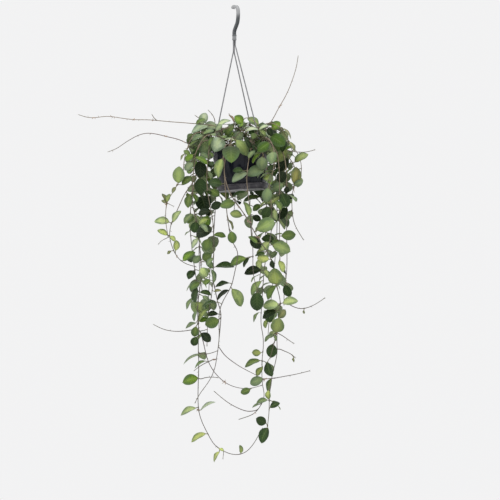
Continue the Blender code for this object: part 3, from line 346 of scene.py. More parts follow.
def stemFinish():
    # Beige near the pot and grey-brown lower down; shoots are more purple, tips greener and buds pale
    stem = Finish("stem_bark", Specular_IOR_Level=0.3)
    young, shoot, bud = (stem.attribute(name) for name in ("young", "shoot", "bud"))
    cloud = stem.noise(30, 3)
    streak = stem.noise(260, 4, stem.stretched((1, 1, 0.18)))
    lenticel = stem.rise(stem.noise(900, 2), 0.62, 0.7)
    high = stem.rise(stem.axis("Z") + (cloud - 0.5) * 0.3, -0.62, -0.38)
    stem.set(
        Base_Color=stem.layered(
            palette["stemLow"],
            (high, palette["stemHigh"]),
            (shoot * 0.85, palette["shoot"]),
            (young * 0.6, palette["youngStem"]),
            (bud * 0.8, palette["bud"]),
            (stem.rise(streak, 0.5, 0.72) * 0.5, palette["streak"]),
            (lenticel * 0.3, palette["lenticel"]),
        ),
        Roughness=streak * 0.2 + 0.45,
        Normal=stem.bump(streak + lenticel * 0.6, 0.25 * mm),
    )
    return stem.material


def leafFinish():
    # The blade's own UV runs across it and from its base to its tip. One attribute holds the leaf's
    # colour, with its own seed as alpha, and two more say how far it is underside or stalk.
    leaf = Finish("leaf_blade", Specular_IOR_Level=0.17)
    own = leaf.attribute("leafColour", "Color")
    seed = leaf.attribute("leafColour", "Alpha")
    under, stalk = leaf.attribute("under"), leaf.attribute("stalk")
    flat = leaf.node("ShaderNodeUVMap", {"uv_map": "blade"})
    side = abs(leaf.axis("X", flat) * 2 - 1)
    along = leaf.axis("Y", flat)
    pale = leaf.rise(leaf.node("ShaderNodeRGBToBW", {}, {0: own}), 0.01, 0.12)
    wobble = leaf.noise(70, 3)
    cloud = leaf.noise(45, 4)
    rib = (1 - leaf.rise(side, 0.02, 0.1)) * (1 - leaf.rise(along, 0.6, 0.95))
    phase = (along * 6.5 - side * 1.9 + wobble * 0.5) * math.tau
    veins = leaf.rise(phase.math("SINE", phase), 0.86, 1.0)
    veins = veins * leaf.rise(side, 0.02, 0.2) * (1 - leaf.rise(side, 0.5, 0.9))
    centre = (1 - leaf.rise(side + (wobble - 0.5) * 1.3, 0.2, 0.65)) * (1 - leaf.rise(along, 0.5, 0.95))
    margin = leaf.rise(side * 0.7 + along * 0.35 + (cloud - 0.5) * 0.9, 0.42, 0.9)
    rim = leaf.rise(side, 0.86, 0.98)
    fleck = leaf.rise(leaf.noise(620, 3, rough=0.6), 0.62, 0.72)
    mottle = leaf.rise(leaf.noise(150, 4, rough=0.6), 0.5, 0.6)
    leaf.set(
        Base_Color=leaf.layered(
            own,
            (leaf.rise(cloud, 0.4, 0.6) * (seed * 0.35 + 0.4), leaf.times(own, leafShades["dusky"])),
            (centre * (seed * 0.6 + 0.4), leaf.times(own, leafShades["bright"])),
            (mottle * (seed * 0.4 + 0.2), leaf.times(own, leafShades["mottled"])),
            (margin * (pale * 0.5 + 0.06), palette["margin"]),
            (fleck * (seed * 0.3 + 0.06) * (pale * 0.7 + 0.3), palette["fleck"]),
            (veins * 0.1, palette["vein"]),
            (rib * (seed * 0.2 + 0.08) * (pale * 0.6 + 0.4), palette["rib"]),
            (rim * 0.5, leaf.times(own, leafShades["rim"])),
            (under * 0.4, palette["underside"]),
            (stalk, palette["stalk"]),
        ),
        Roughness=under * 0.16 + cloud * 0.14 + fleck * 0.05 + 0.34,
        Normal=leaf.bump(rib * 0.5 + veins * 0.4 + cloud * 0.5 + fleck * 0.1, 0.35 * mm),
    )
    return leaf.material


def addBmesh(name, bm, *finishes):
    # Makes a smooth object of the scene from a mesh in the making
    mesh = bpy.data.meshes.new(name)
    bm.to_mesh(mesh)
    bm.free()
    mesh.shade_smooth()
    for finish in finishes:
        mesh.materials.append(finish)
    thing = bpy.data.objects.new(name, mesh)
    collection.objects.link(thing)
    return thing


def dress(thing, node, crisp=None):
    # A finished piece stands for its plain solid; edges sharper than a crisp angle stay crisp
    if crisp:
        thing.data.set_sharp_from_angle(angle=math.radians(crisp))
    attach(thing, "root")
    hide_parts(node)
    return thing


def addLoose(thing):
    # A finished piece that stands for no solid
    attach(thing, "root")


def around(turn, reach, height):
    # A point at this angle and distance round the Z axis
    return Vector((math.cos(turn) * reach, math.sin(turn) * reach, height))


def lengths(path):
    # How far along a path each of its points is
    return np.concatenate([[0], np.cumsum(np.linalg.norm(np.diff(path, axis=0), axis=1))])


def joined(bm, own):
    # Puts one mesh in the making into another
    mesh = bpy.data.meshes.new("joined")
    own.to_mesh(mesh)
    own.free()
    bm.from_mesh(mesh)
    bpy.data.meshes.remove(mesh)


def turned(profile, sides):
    # A profile of (radius, height), from axis to axis, spun round the Z axis
    bm = bmesh.new()
    points = [bm.verts.new((radius, 0, height)) for radius, height in profile]
    edges = [bm.edges.new((a, b)) for a, b in zip(points, points[1:])]
    bmesh.ops.spin(
        bm, geom=points + edges, cent=(0, 0, 0), axis=(0, 0, 1), angle=math.tau, steps=sides, use_merge=True
    )
    bmesh.ops.remove_doubles(bm, verts=bm.verts, dist=0.00001)
    bmesh.ops.dissolve_degenerate(bm, edges=bm.edges, dist=0.00001)
    bmesh.ops.recalc_face_normals(bm, faces=bm.faces)
    return bm


def softened(bm, angle, width, segments):
    # Rounds every edge that is sharper than this angle
    sharp = [edge for edge in bm.edges if edge.is_manifold and edge.calc_face_angle() > math.radians(angle)]
    bmesh.ops.bevel(
        bm, geom=sharp, offset=width, affect="EDGES", segments=segments, profile=0.5, material=-1,
        clamp_overlap=True,
    )
    return bm


def rod(bm, radius, low, high, sides=16, tipRadius=None):
    # A round rod or cone from one point to another, added to a mesh
    middle = Matrix.Translation((low + high) / 2)
    turn = (high - low).to_track_quat("Z", "Y").to_matrix().to_4x4()
    return bmesh.ops.create_cone(
        bm, cap_ends=True, segments=sides, radius1=radius, radius2=radius if tipRadius is None else tipRadius,
        depth=(high - low).length, matrix=middle @ turn,
    )


def tubeMesh(points, radii, sides):
    # A round rod along a row of points with its own radius at each, closed at both ends
    curve = bpy.data.curves.new("rod", "CURVE")
    curve.dimensions = "3D"
    curve.bevel_depth = 1
    curve.bevel_resolution = (sides - 4) // 2
    curve.use_fill_caps = True
    line = curve.splines.new("POLY")
    line.points.add(len(points) - 1)
    for place, point, radius in zip(line.points, points, radii):
        place.co = (*point, 1)
        place.radius = radius
    thing = bpy.data.objects.new("rod", curve)
    collection.objects.link(thing)
    bpy.context.view_layer.update()
    mesh = bpy.data.meshes.new_from_object(thing.evaluated_get(bpy.context.evaluated_depsgraph_get()))
    bpy.data.objects.remove(thing, do_unlink=True)
    bpy.data.curves.remove(curve)
    return mesh


def addTube(bm, points, radii, sides):
    # The same rod, welded and added to a mesh in the making
    mesh = tubeMesh(points, radii, sides)
    own = bmesh.new()
    own.from_mesh(mesh)
    bpy.data.meshes.remove(mesh)
    bmesh.ops.remove_doubles(own, verts=own.verts, dist=0.000001)
    bmesh.ops.recalc_face_normals(own, faces=own.faces)
    before = len(bm.verts)
    joined(bm, own)
    bm.verts.ensure_lookup_table()
    return bm.verts[before:]


def smooth(points, step):
    # A Catmull-Rom curve through the points, read off at even steps
    path = np.array([list(point) for point in points])
    path = np.vstack([2 * path[0] - path[1], path, 2 * path[-1] - path[-2]])
    fine = []
    for a, b, c, d in zip(path, path[1:], path[2:], path[3:]):
        bend = 2 * a - 5 * b + 4 * c - d
        twist = 3 * b - a - 3 * c + d
        for t in np.arange(0, 1, 0.05):
            fine.append(0.5 * (2 * b + (c - a) * t + bend * t**2 + twist * t**3))
    fine = np.array(fine + [path[-2]])
    along = lengths(fine)
    count = max(2, round(along[-1] / step) + 1)
    marks = np.linspace(0, along[-1], count)
    return np.stack([np.interp(marks, along, fine[:, axis]) for axis in range(3)], axis=1)


# The hook: a flat moulded bar with a channel down each broad side, over a socket for the legs
hook = {
    "innerRadius": 12.5 * mm,
    "thick": 7.0 * mm,
    "wide": 7.5 * mm,
    "turn": math.radians(120),
    "rise": 0.3,
    "arch": range(42, 181, 6),
    "flange": 1.5 * mm,
    "channel": 1.5 * mm,
    "soft": 0.5 * mm,
    "step": 3 * mm,
    "foot": 5 * mm,
    "socketRadius": 5.2 * mm,
    "socketTall": 15 * mm,
    "socketSides": 32,
    "bands": (2.2 * mm, 11.5 * mm),
    "bandWide": 0.5 * mm,
    "bandTall": 1.2 * mm,
    "wornAbove": (-32 * mm, -14 * mm),
    "wornBelow": (-74 * mm, -66 * mm),
    "wornBlur": 8 * mm,
}

# The legs, as azimuths round the pot and round the socket, and how far they fall before they part
legs = {
    "azimuths": {"leg_left": 180, "leg_back": 55, "leg_front": 319},
    "socket": {"leg_left": 200, "leg_back": 95, "leg_front": 340},
    "drop": {"leg_left": 24, "leg_back": 26, "leg_front": 9},
    "start": Vector((-1.6 * mm, 0, -81 * mm)),
    "ring": 2.6 * mm,
    "seated": 4 * mm,
    "aboveLug": (8 * mm, 4 * mm),
    "belowLug": 3 * mm,
    "step": 4 * mm,
    "sides": 12,
    "radius": 1.5 * mm,
    "uneven": 0.05,
    "beadRadius": 2.3 * mm,
    "beadTall": 3.5 * mm,
    "beadSoft": 0.7 * mm,
    "collar": (1.2 * mm, 4.2 * mm),
}

# The pot, in its own tilted frame whose origin is the centre of the rim
pot = {
    "lean": math.radians(-3.6),
    "rimRadius": 75 * mm,
    "baseRadius": 58 * mm,
    "tall": 99 * mm,
    "wall": 1.6 * mm,
    "lipWide": 3.5 * mm,
    "lipTall": 7 * mm,
    "innerFoot": 3.5 * mm,
    "lugRing": 66.4 * mm,
    "lugSize": (8 * mm, 9 * mm),
    "sides": 120,
    "flat": 0.9957,
}

# The soil: its heaped top with waves of (length, height) in mm, and the sizes of the bits on it
soil = {
    "drop": 12 * mm,
    "heap": 3 * mm,
    "rootDeep": 14 * mm,
    "gap": 0.3 * mm,
    "lumps": ((14, 1.6), (33, 0.8), (71, 0.45)),
    "phase": 0.7,
    "rings": 26,
    "sides": 96,
    "bits": 420,
    "bitSizes": (0.8, 2.6),
}

saucer = {"radius": 65 * mm, "tall": 15 * mm, "wall": 1.8 * mm, "drop": 4 * mm}

potFrame = Matrix.Translation(seen(240.3, 149.5, 0)) @ Matrix.Rotation(pot["lean"], 4, "Y")
potFrameBack = potFrame.inverted()


def sweep(path, across, section):
    # A bar whose section is a list of (across, out), along a path
    bm = bmesh.new()
    bmesh.ops.create_circle(bm, cap_ends=True, segments=len(section), radius=1)
    bm.faces.ensure_lookup_table()
    ring = bm.faces[0]
    for index, point in enumerate(path):
        if index:
            made = bmesh.ops.extrude_face_region(bm, geom=[ring])
            if index > 1 and ring.is_valid:
                bm.faces.remove(ring)
            ring = [item for item in made["geom"] if isinstance(item, bmesh.types.BMFace)][0]
        before = path[max(index - 1, 0)]
        after = path[min(index + 1, len(path) - 1)]
        out = (after - before).cross(across).normalized()
        for vert, (side, lift) in zip(ring.verts, section):
            vert.co = point + across * side + out * lift
    return bm


def channelSection():
    # Half sizes, taken once round: two flanges with a shallow web between them
    wide = hook["wide"] / 2
    thick = hook["thick"] / 2
    soft = hook["soft"]
    flange = wide - hook["flange"]
    web = thick - hook["channel"]
    quarter = [
        (wide, 0), (wide, thick - soft), (wide - soft * 0.3, thick - soft * 0.3), (wide - soft, thick),
        (flange + 0.2 * mm, thick), (flange - 0.3 * mm, web + 0.2 * mm), (flange - 0.7 * mm, web), (0, web),
    ]
    half = quarter + [(-side, lift) for side, lift in reversed(quarter[:-1])]
    return half + [(side, -lift) for side, lift in reversed(half[1:-1])]


def hookPath(along):
    # An arch over the rail, and a shank that swings back over the legs
    radius = hook["innerRadius"] + hook["thick"] / 2
    path = []
    for turn in hook["arch"]:
        angle = math.radians(turn)
        arch = along * radius * math.cos(angle)
        rise = hook["rise"] * radius * max(0.0, math.cos(angle))
        path.append(arch + Vector((0, 0, radius * math.sin(angle) - hook["innerRadius"] + rise)))
    front = along * -radius + Vector((0, 0, -hook["innerRadius"]))
    foot = legs["start"] + Vector((0, 0, hook["socketTall"] - hook["foot"]))
    swing = [
        front,
        front + Vector((0, 0.3 * mm, -10 * mm)),
        front.lerp(foot, 0.45) + Vector((2.2 * mm, -1 * mm, 0)),
        foot + Vector((0.4 * mm, -0.6 * mm, 14 * mm)),
        foot,
    ]
    return path + [Vector(point) for point in smooth(swing, hook["step"])]


def buildHook():
    # The bar, and the banded socket that holds the legs
    along = around(hook["turn"], 1, 0)
    across = Vector((-along.y, along.x, 0))
    bm = sweep(hookPath(along), across, channelSection())
    bmesh.ops.recalc_face_normals(bm, faces=bm.faces)
    low = legs["start"]
    own = bmesh.new()
    rod(own, hook["socketRadius"], low, low + Vector((0, 0, hook["socketTall"])), hook["socketSides"])
    softened(own, 50, 0.9 * mm, 3)
    joined(bm, own)
    for lift in hook["bands"]:
        low = legs["start"] + Vector((0, 0, lift))
        high = low + Vector((0, 0, hook["bandTall"]))
        rod(bm, hook["socketRadius"] + hook["bandWide"], low, high, hook["socketSides"])
    dress(addBmesh("hook.moulded", bm, hookFinish), "hook", crisp=38)


def legTop(name):
    turn = math.radians(legs["socket"][name])
    return legs["start"] + around(turn, legs["ring"], hook["socketTall"] - legs["seated"])


def lugPoint(name, height):
    return potFrame @ around(math.radians(legs["azimuths"][name]), pot["lugRing"], height)


def legRoute(name):
    # Down out of the socket beside the other two, then spread and straight to the pot's lug
    top = legTop(name)
    mouth = Vector((top.x, top.y, legs["start"].z - legs["seated"]))
    down = mouth + Vector((0, 0, -legs["drop"][name] * mm))
    lug, beside = (lugPoint(name, height) for height in legs["aboveLug"])
    end = lugPoint(name, -pot["lipTall"] - legs["belowLug"])
    return [top, mouth, down, down.lerp(lug, 0.06), down.lerp(lug, 0.5), lug, beside, end]


def buildLeg(name):
    # One thin strand of the hanger, with a moulded bead at its end that holds up the pot's lug
    route = smooth(legRoute(name), legs["step"])
    radii = [legs["radius"] * (1 + legs["uneven"] * math.sin(index * 1.7)) for index in range(len(route))]
    bm = bmesh.new()
    addTube(bm, route, radii, legs["sides"])
    low = lugPoint(name, -pot["lipTall"] - legs["beadTall"] - soil["gap"])
    high = lugPoint(name, -pot["lipTall"] - soil["gap"])
    bead = rod(bm, legs["beadRadius"], low, high, 20)["verts"]
    rims = dict.fromkeys(edge for vert in bead for edge in vert.link_edges if edge.calc_face_angle(0) > 1)
    bmesh.ops.bevel(
        bm, geom=list(rims), offset=legs["beadSoft"], affect="EDGES", segments=3, profile=0.5, material=-1
    )
    low, high = (lugPoint(name, height) for height in legs["collar"])
    rod(bm, legs["beadRadius"] * 0.85, low, high, 16, legs["radius"])
    dress(addBmesh(name + ".strand", bm, legFinish), name)


def buildPot():
    # A tapered wall with a rolled lip and a step below it, a floor, and three lugs for the legs
    base = -pot["tall"]
    flat = pot["flat"]
    inner = pot["baseRadius"] - pot["wall"]
    rim = pot["rimRadius"]
    lip = pot["lipWide"]
    drop = pot["lipTall"]
    profile = [
        (0, base + 1.2 * mm),
        (pot["baseRadius"] - 9 * mm, base + 1.2 * mm),
        (pot["baseRadius"] - 7 * mm, base),
        (pot["baseRadius"] - 3 * mm, base),
        (pot["baseRadius"] - 0.9 * mm, base + 0.8 * mm),
        (pot["baseRadius"], base + 3 * mm),
        (rim - lip - 1.0 * mm, -drop - 6 * mm),
        (rim - lip - 0.4 * mm, -drop - 5.6 * mm),
        (rim - lip, -drop),
        (rim - 0.7 * mm, -drop),
        (rim, -drop + 0.8 * mm),
        (rim, -2.2 * mm),
        (rim - 0.3 * mm, -1.0 * mm),
        (rim - 1.1 * mm, -0.2 * mm),
        (rim - 2.2 * mm, 0),
        (rim - lip - pot["wall"] + 0.6 * mm, -0.1 * mm),
        (rim - lip - pot["wall"], -0.9 * mm),
        (rim - lip - pot["wall"], -drop),
        (inner, base + pot["innerFoot"]),
        (inner - 2 * mm, base + 2 * mm),
        (0, base + 2 * mm),
    ]
    bm = turned([(radius * flat, height) for radius, height in profile], pot["sides"])
    for azimuth in legs["azimuths"].values():
        own = bmesh.new()
        bmesh.ops.create_cube(own, size=1)
        size = Matrix.Diagonal((*pot["lugSize"], drop - 0.6 * mm, 1))
        place = Matrix.Translation((pot["lugRing"] + 0.8 * mm, 0, -drop / 2))
        turn = Matrix.Rotation(math.radians(azimuth), 4, "Z")
        bmesh.ops.transform(own, matrix=turn @ place @ size, verts=own.verts)
        softened(own, 40, 1.1 * mm, 3)
        joined(bm, own)
    bmesh.ops.transform(bm, matrix=potFrame, verts=bm.verts)
    dress(addBmesh("pot.gloss", bm, potGloss), "pot", crisp=40)


def buildSaucer():
    # A shallow dish clipped under the pot: a groove below its rim, and a ring that the pot stands on
    floor = -pot["tall"] - saucer["drop"]
    flat = pot["flat"]
    radius = saucer["radius"]
    top = floor + saucer["tall"]
    ring = pot["baseRadius"] - 8 * mm
    profile = [
        (0, floor),
        (radius - 7 * mm, floor),
        (radius - 4 * mm, floor + 0.6 * mm),
        (radius - 2 * mm, floor + 2.4 * mm),
        (radius - 0.9 * mm, floor + 8 * mm),
        (radius - 1.5 * mm, floor + 9.2 * mm),
        (radius - 1.3 * mm, floor + 10.6 * mm),
        (radius - 0.2 * mm, floor + 11.4 * mm),
        (radius, top - 1.2 * mm),
        (radius - 0.3 * mm, top - 0.3 * mm),
        (radius - 1 * mm, top),
        (radius - saucer["wall"], top - 0.5 * mm),
        (radius - saucer["wall"] - 2 * mm, floor + 3 * mm),
        (ring + 2 * mm, floor + 2 * mm),
        (ring + 2 * mm, -pot["tall"] - soil["gap"]),
        (ring, -pot["tall"] - soil["gap"]),
        (ring, floor + 2 * mm),
        (0, floor + 2 * mm),
    ]
    bm = turned([(reach * flat, height) for reach, height in profile], pot["sides"])
    bmesh.ops.transform(bm, matrix=potFrame, verts=bm.verts)
    dress(addBmesh("saucer.satin", bm, saucerSatin), "saucer", crisp=38)


def innerWall(height):
    # The pot's inner radius at this height below the rim
    low = -pot["tall"] + pot["innerFoot"]
    share = (height - low) / (-pot["lipTall"] - low)
    top = pot["rimRadius"] - pot["lipWide"] - pot["wall"]
    bottom = pot["baseRadius"] - pot["wall"]
    return bottom + (top - bottom) * share


def soilReach(height):
    return innerWall(height) - 2 * soil["gap"]


def soilHeight(x, y):
    # The heaped surface, with lumps that fade out at the wall
    reach = math.hypot(x, y) / soilReach(-soil["drop"])
    phase = soil["phase"]
    lump = 0.0
    for size, strength in soil["lumps"]:
        lump += strength * math.sin(x / mm * 6.3 / size + phase) * math.sin(y / mm * 6.3 / size + 2.1 * phase)
    return -soil["drop"] + soil["heap"] * (1 - reach * reach) + lump * mm * (1 - reach**6)


def addBit(bits, tone, rng):
    # One bit of bark or a grain, half sunk in the soil's surface
    turn = rng.uniform(0, math.tau)
    reach = (soilReach(-soil["drop"]) - 3 * mm) * math.sqrt(rng.random())
    x = math.cos(turn) * reach
    y = math.sin(turn) * reach
    size = rng.uniform(*soil["bitSizes"]) * mm
    shade = rng.uniform(0, 0.98)
    spin = Matrix.Rotation(rng.uniform(0, math.tau), 4, Vector((rng.random(), rng.random(), 1)))
    stretch = Matrix.Diagonal((size * rng.uniform(0.8, 1.8), size, size * rng.uniform(0.35, 0.8), 1))
    place = Matrix.Translation((x, y, soilHeight(x, y) + size * 0.2))
    matrix = potFrame @ place @ spin @ stretch
    made = bmesh.ops.create_icosphere(bits, subdivisions=1, radius=1, matrix=matrix)
    for vert in made["verts"]:
        vert[tone] = shade


def buildSoil():
    # A plug of peat with a lumpy top, and loose bits of bark and pale grains lying on it
    low = -pot["tall"] + 2 * mm + soil["gap"]
    edge = soilReach(-soil["drop"])
    rings = soil["rings"]
    profile = [(0, low), (innerWall(low) - 3 * mm, low), (soilReach(low + 3 * mm), low + 3 * mm)]
    profile += [(edge * (1 - ring / rings), -soil["drop"]) for ring in range(rings + 1)]
    bm = turned(profile, soil["sides"])
    for vert in bm.verts:
        if vert.co.z > -soil["drop"] - 0.01 * mm:
            vert.co.z = soilHeight(vert.co.x, vert.co.y)
    bmesh.ops.transform(bm, matrix=potFrame, verts=bm.verts)
    plug = dress(addBmesh("soil.peat", bm, pottingSoil), "soil")
    rng = random.Random(seeds["bits"])
    bits = bmesh.new()
    tone = bits.verts.layers.float.new("tone")
    for index in range(soil["bits"]):
        addBit(bits, tone, rng)
    loose = addBmesh("soil.bits", bits, soilBits)
    loose.data.shade_flat()
    loose.parent = plug
    addLoose(loose)


def meshTree(thing):
    # A finished object's shape, to test what it would touch
    corners = [thing.matrix_world @ vert.co for vert in thing.data.vertices]
    return BVHTree.FromPolygons(corners, [list(face.vertices) for face in thing.data.polygons]), corners


# How the stems and leaves grow. Steps are the distances between leaves, in mm.
growth = {
    "stemRadius": 1.5 * mm,
    "stemClear": 5.6 * mm,
    "stemStep": 8 * mm,
    "lineLimit": 1.6 * mm,
    "rootPoints": 4,
    "bendReach": 62 * mm,
    "bendPast": 4 * mm,
    "bendRise": 0.72,
    "overReach": 70 * mm,
    "overPast": 7 * mm,
    "leafThick": 1.5 * mm,
    "leafRatio": 0.68,
    "broadest": 0.85,
    "longest": 50 * mm,
    "droop": 0.10,
    "fold": 0.16,
    "stalkThick": 1.3 * mm,
    "stalkReach": 20 * mm,
    "stalkLeast": 4 * mm,
    "clearance": 0.45 * mm,
    "shrinks": (1.0, 0.88, 0.75),
    "shifts": (3.0, 6.0, 0.0, 10.0, -4.0, 15.0),
    "crownRadius": 88 * mm,
    "crownLow": 4 * mm,
    "crownSteps": (50, 64),
    "veiledSteps": (140, 180),
    "openSteps": (74, 90),
    "fillSizes": (34, 44),
    "thickTries": 14,
    "thinTries": 7,
    "hiding": 0.32,
    "flanks": (0, 500),
    "lowest": 500,
    "shoulder": 128,
}

# What the second pass changes, for the small leaves that only the fine model has
secondPass = {
    "crownSteps": (14, 20),
    "openSteps": (60, 80),
    "veiledSteps": (60, 90),
    "fillSizes": (22, 36),
    "hiding": 0.42,
    "flanks": (186, 291),
    "lowest": 345,
}

# What the eye sees of the plant as a whole: its upper outline, its two curtains, and the open pot
outline = {
    "across": (186, 188, 195, 200, 208, 213, 236, 240, 258, 266, 280, 292, 300, 303),
    "down": (400, 140, 120, 114, 115, 124, 122, 118, 118, 123, 123, 136, 152, 400),
    "bushLow": 214,
    "curtainTop": 204,
    "curtains": ((187, 215), (248, 291)),
    "pot": (214, 252, 154, 228),
}

# How crowded stems are eased apart, and how far they stay from the pot's wall and its lip
easing = {
    "rounds": 90,
    "pace": 0.6,
    "homing": 0.03,
    "besideFrom": 6,
    "besideHigh": 3 * mm,
    "besideLow": 12 * mm,
    "wallClear": 3.4 * mm,
    "strandStep": 6 * mm,
    "aboveFrom": 2,
    "lip": (58 * mm, 84 * mm),
    "lipClear": 6 * mm,
    "lent": 0.1,
}

# The fine stems: their girth from root to tip, their swollen joints, stumps, buds and tips
fineStem = {
    "step": 2.5 * mm,
    "sides": 8,
    "trunk": (1.25 * mm, 0.85 * mm),
    "runner": (1.1 * mm, 0.72 * mm),
    "wisp": (0.85 * mm, 0.55 * mm),
    "jointSwell": 0.5,
    "jointReach": 2.2 * mm,
    "youngReach": 70 * mm,
    "stubSteps": (26, 44),
    "stubLengths": (2.0, 6.0),
    "stubGirths": (0.55, 0.85),
    "stubEnd": 6 * mm,
    "stubFromPot": 4 * mm,
    "stubFromLip": 8 * mm,
    "knotSpread": 4 * mm,
    "tip": 4.5,
}

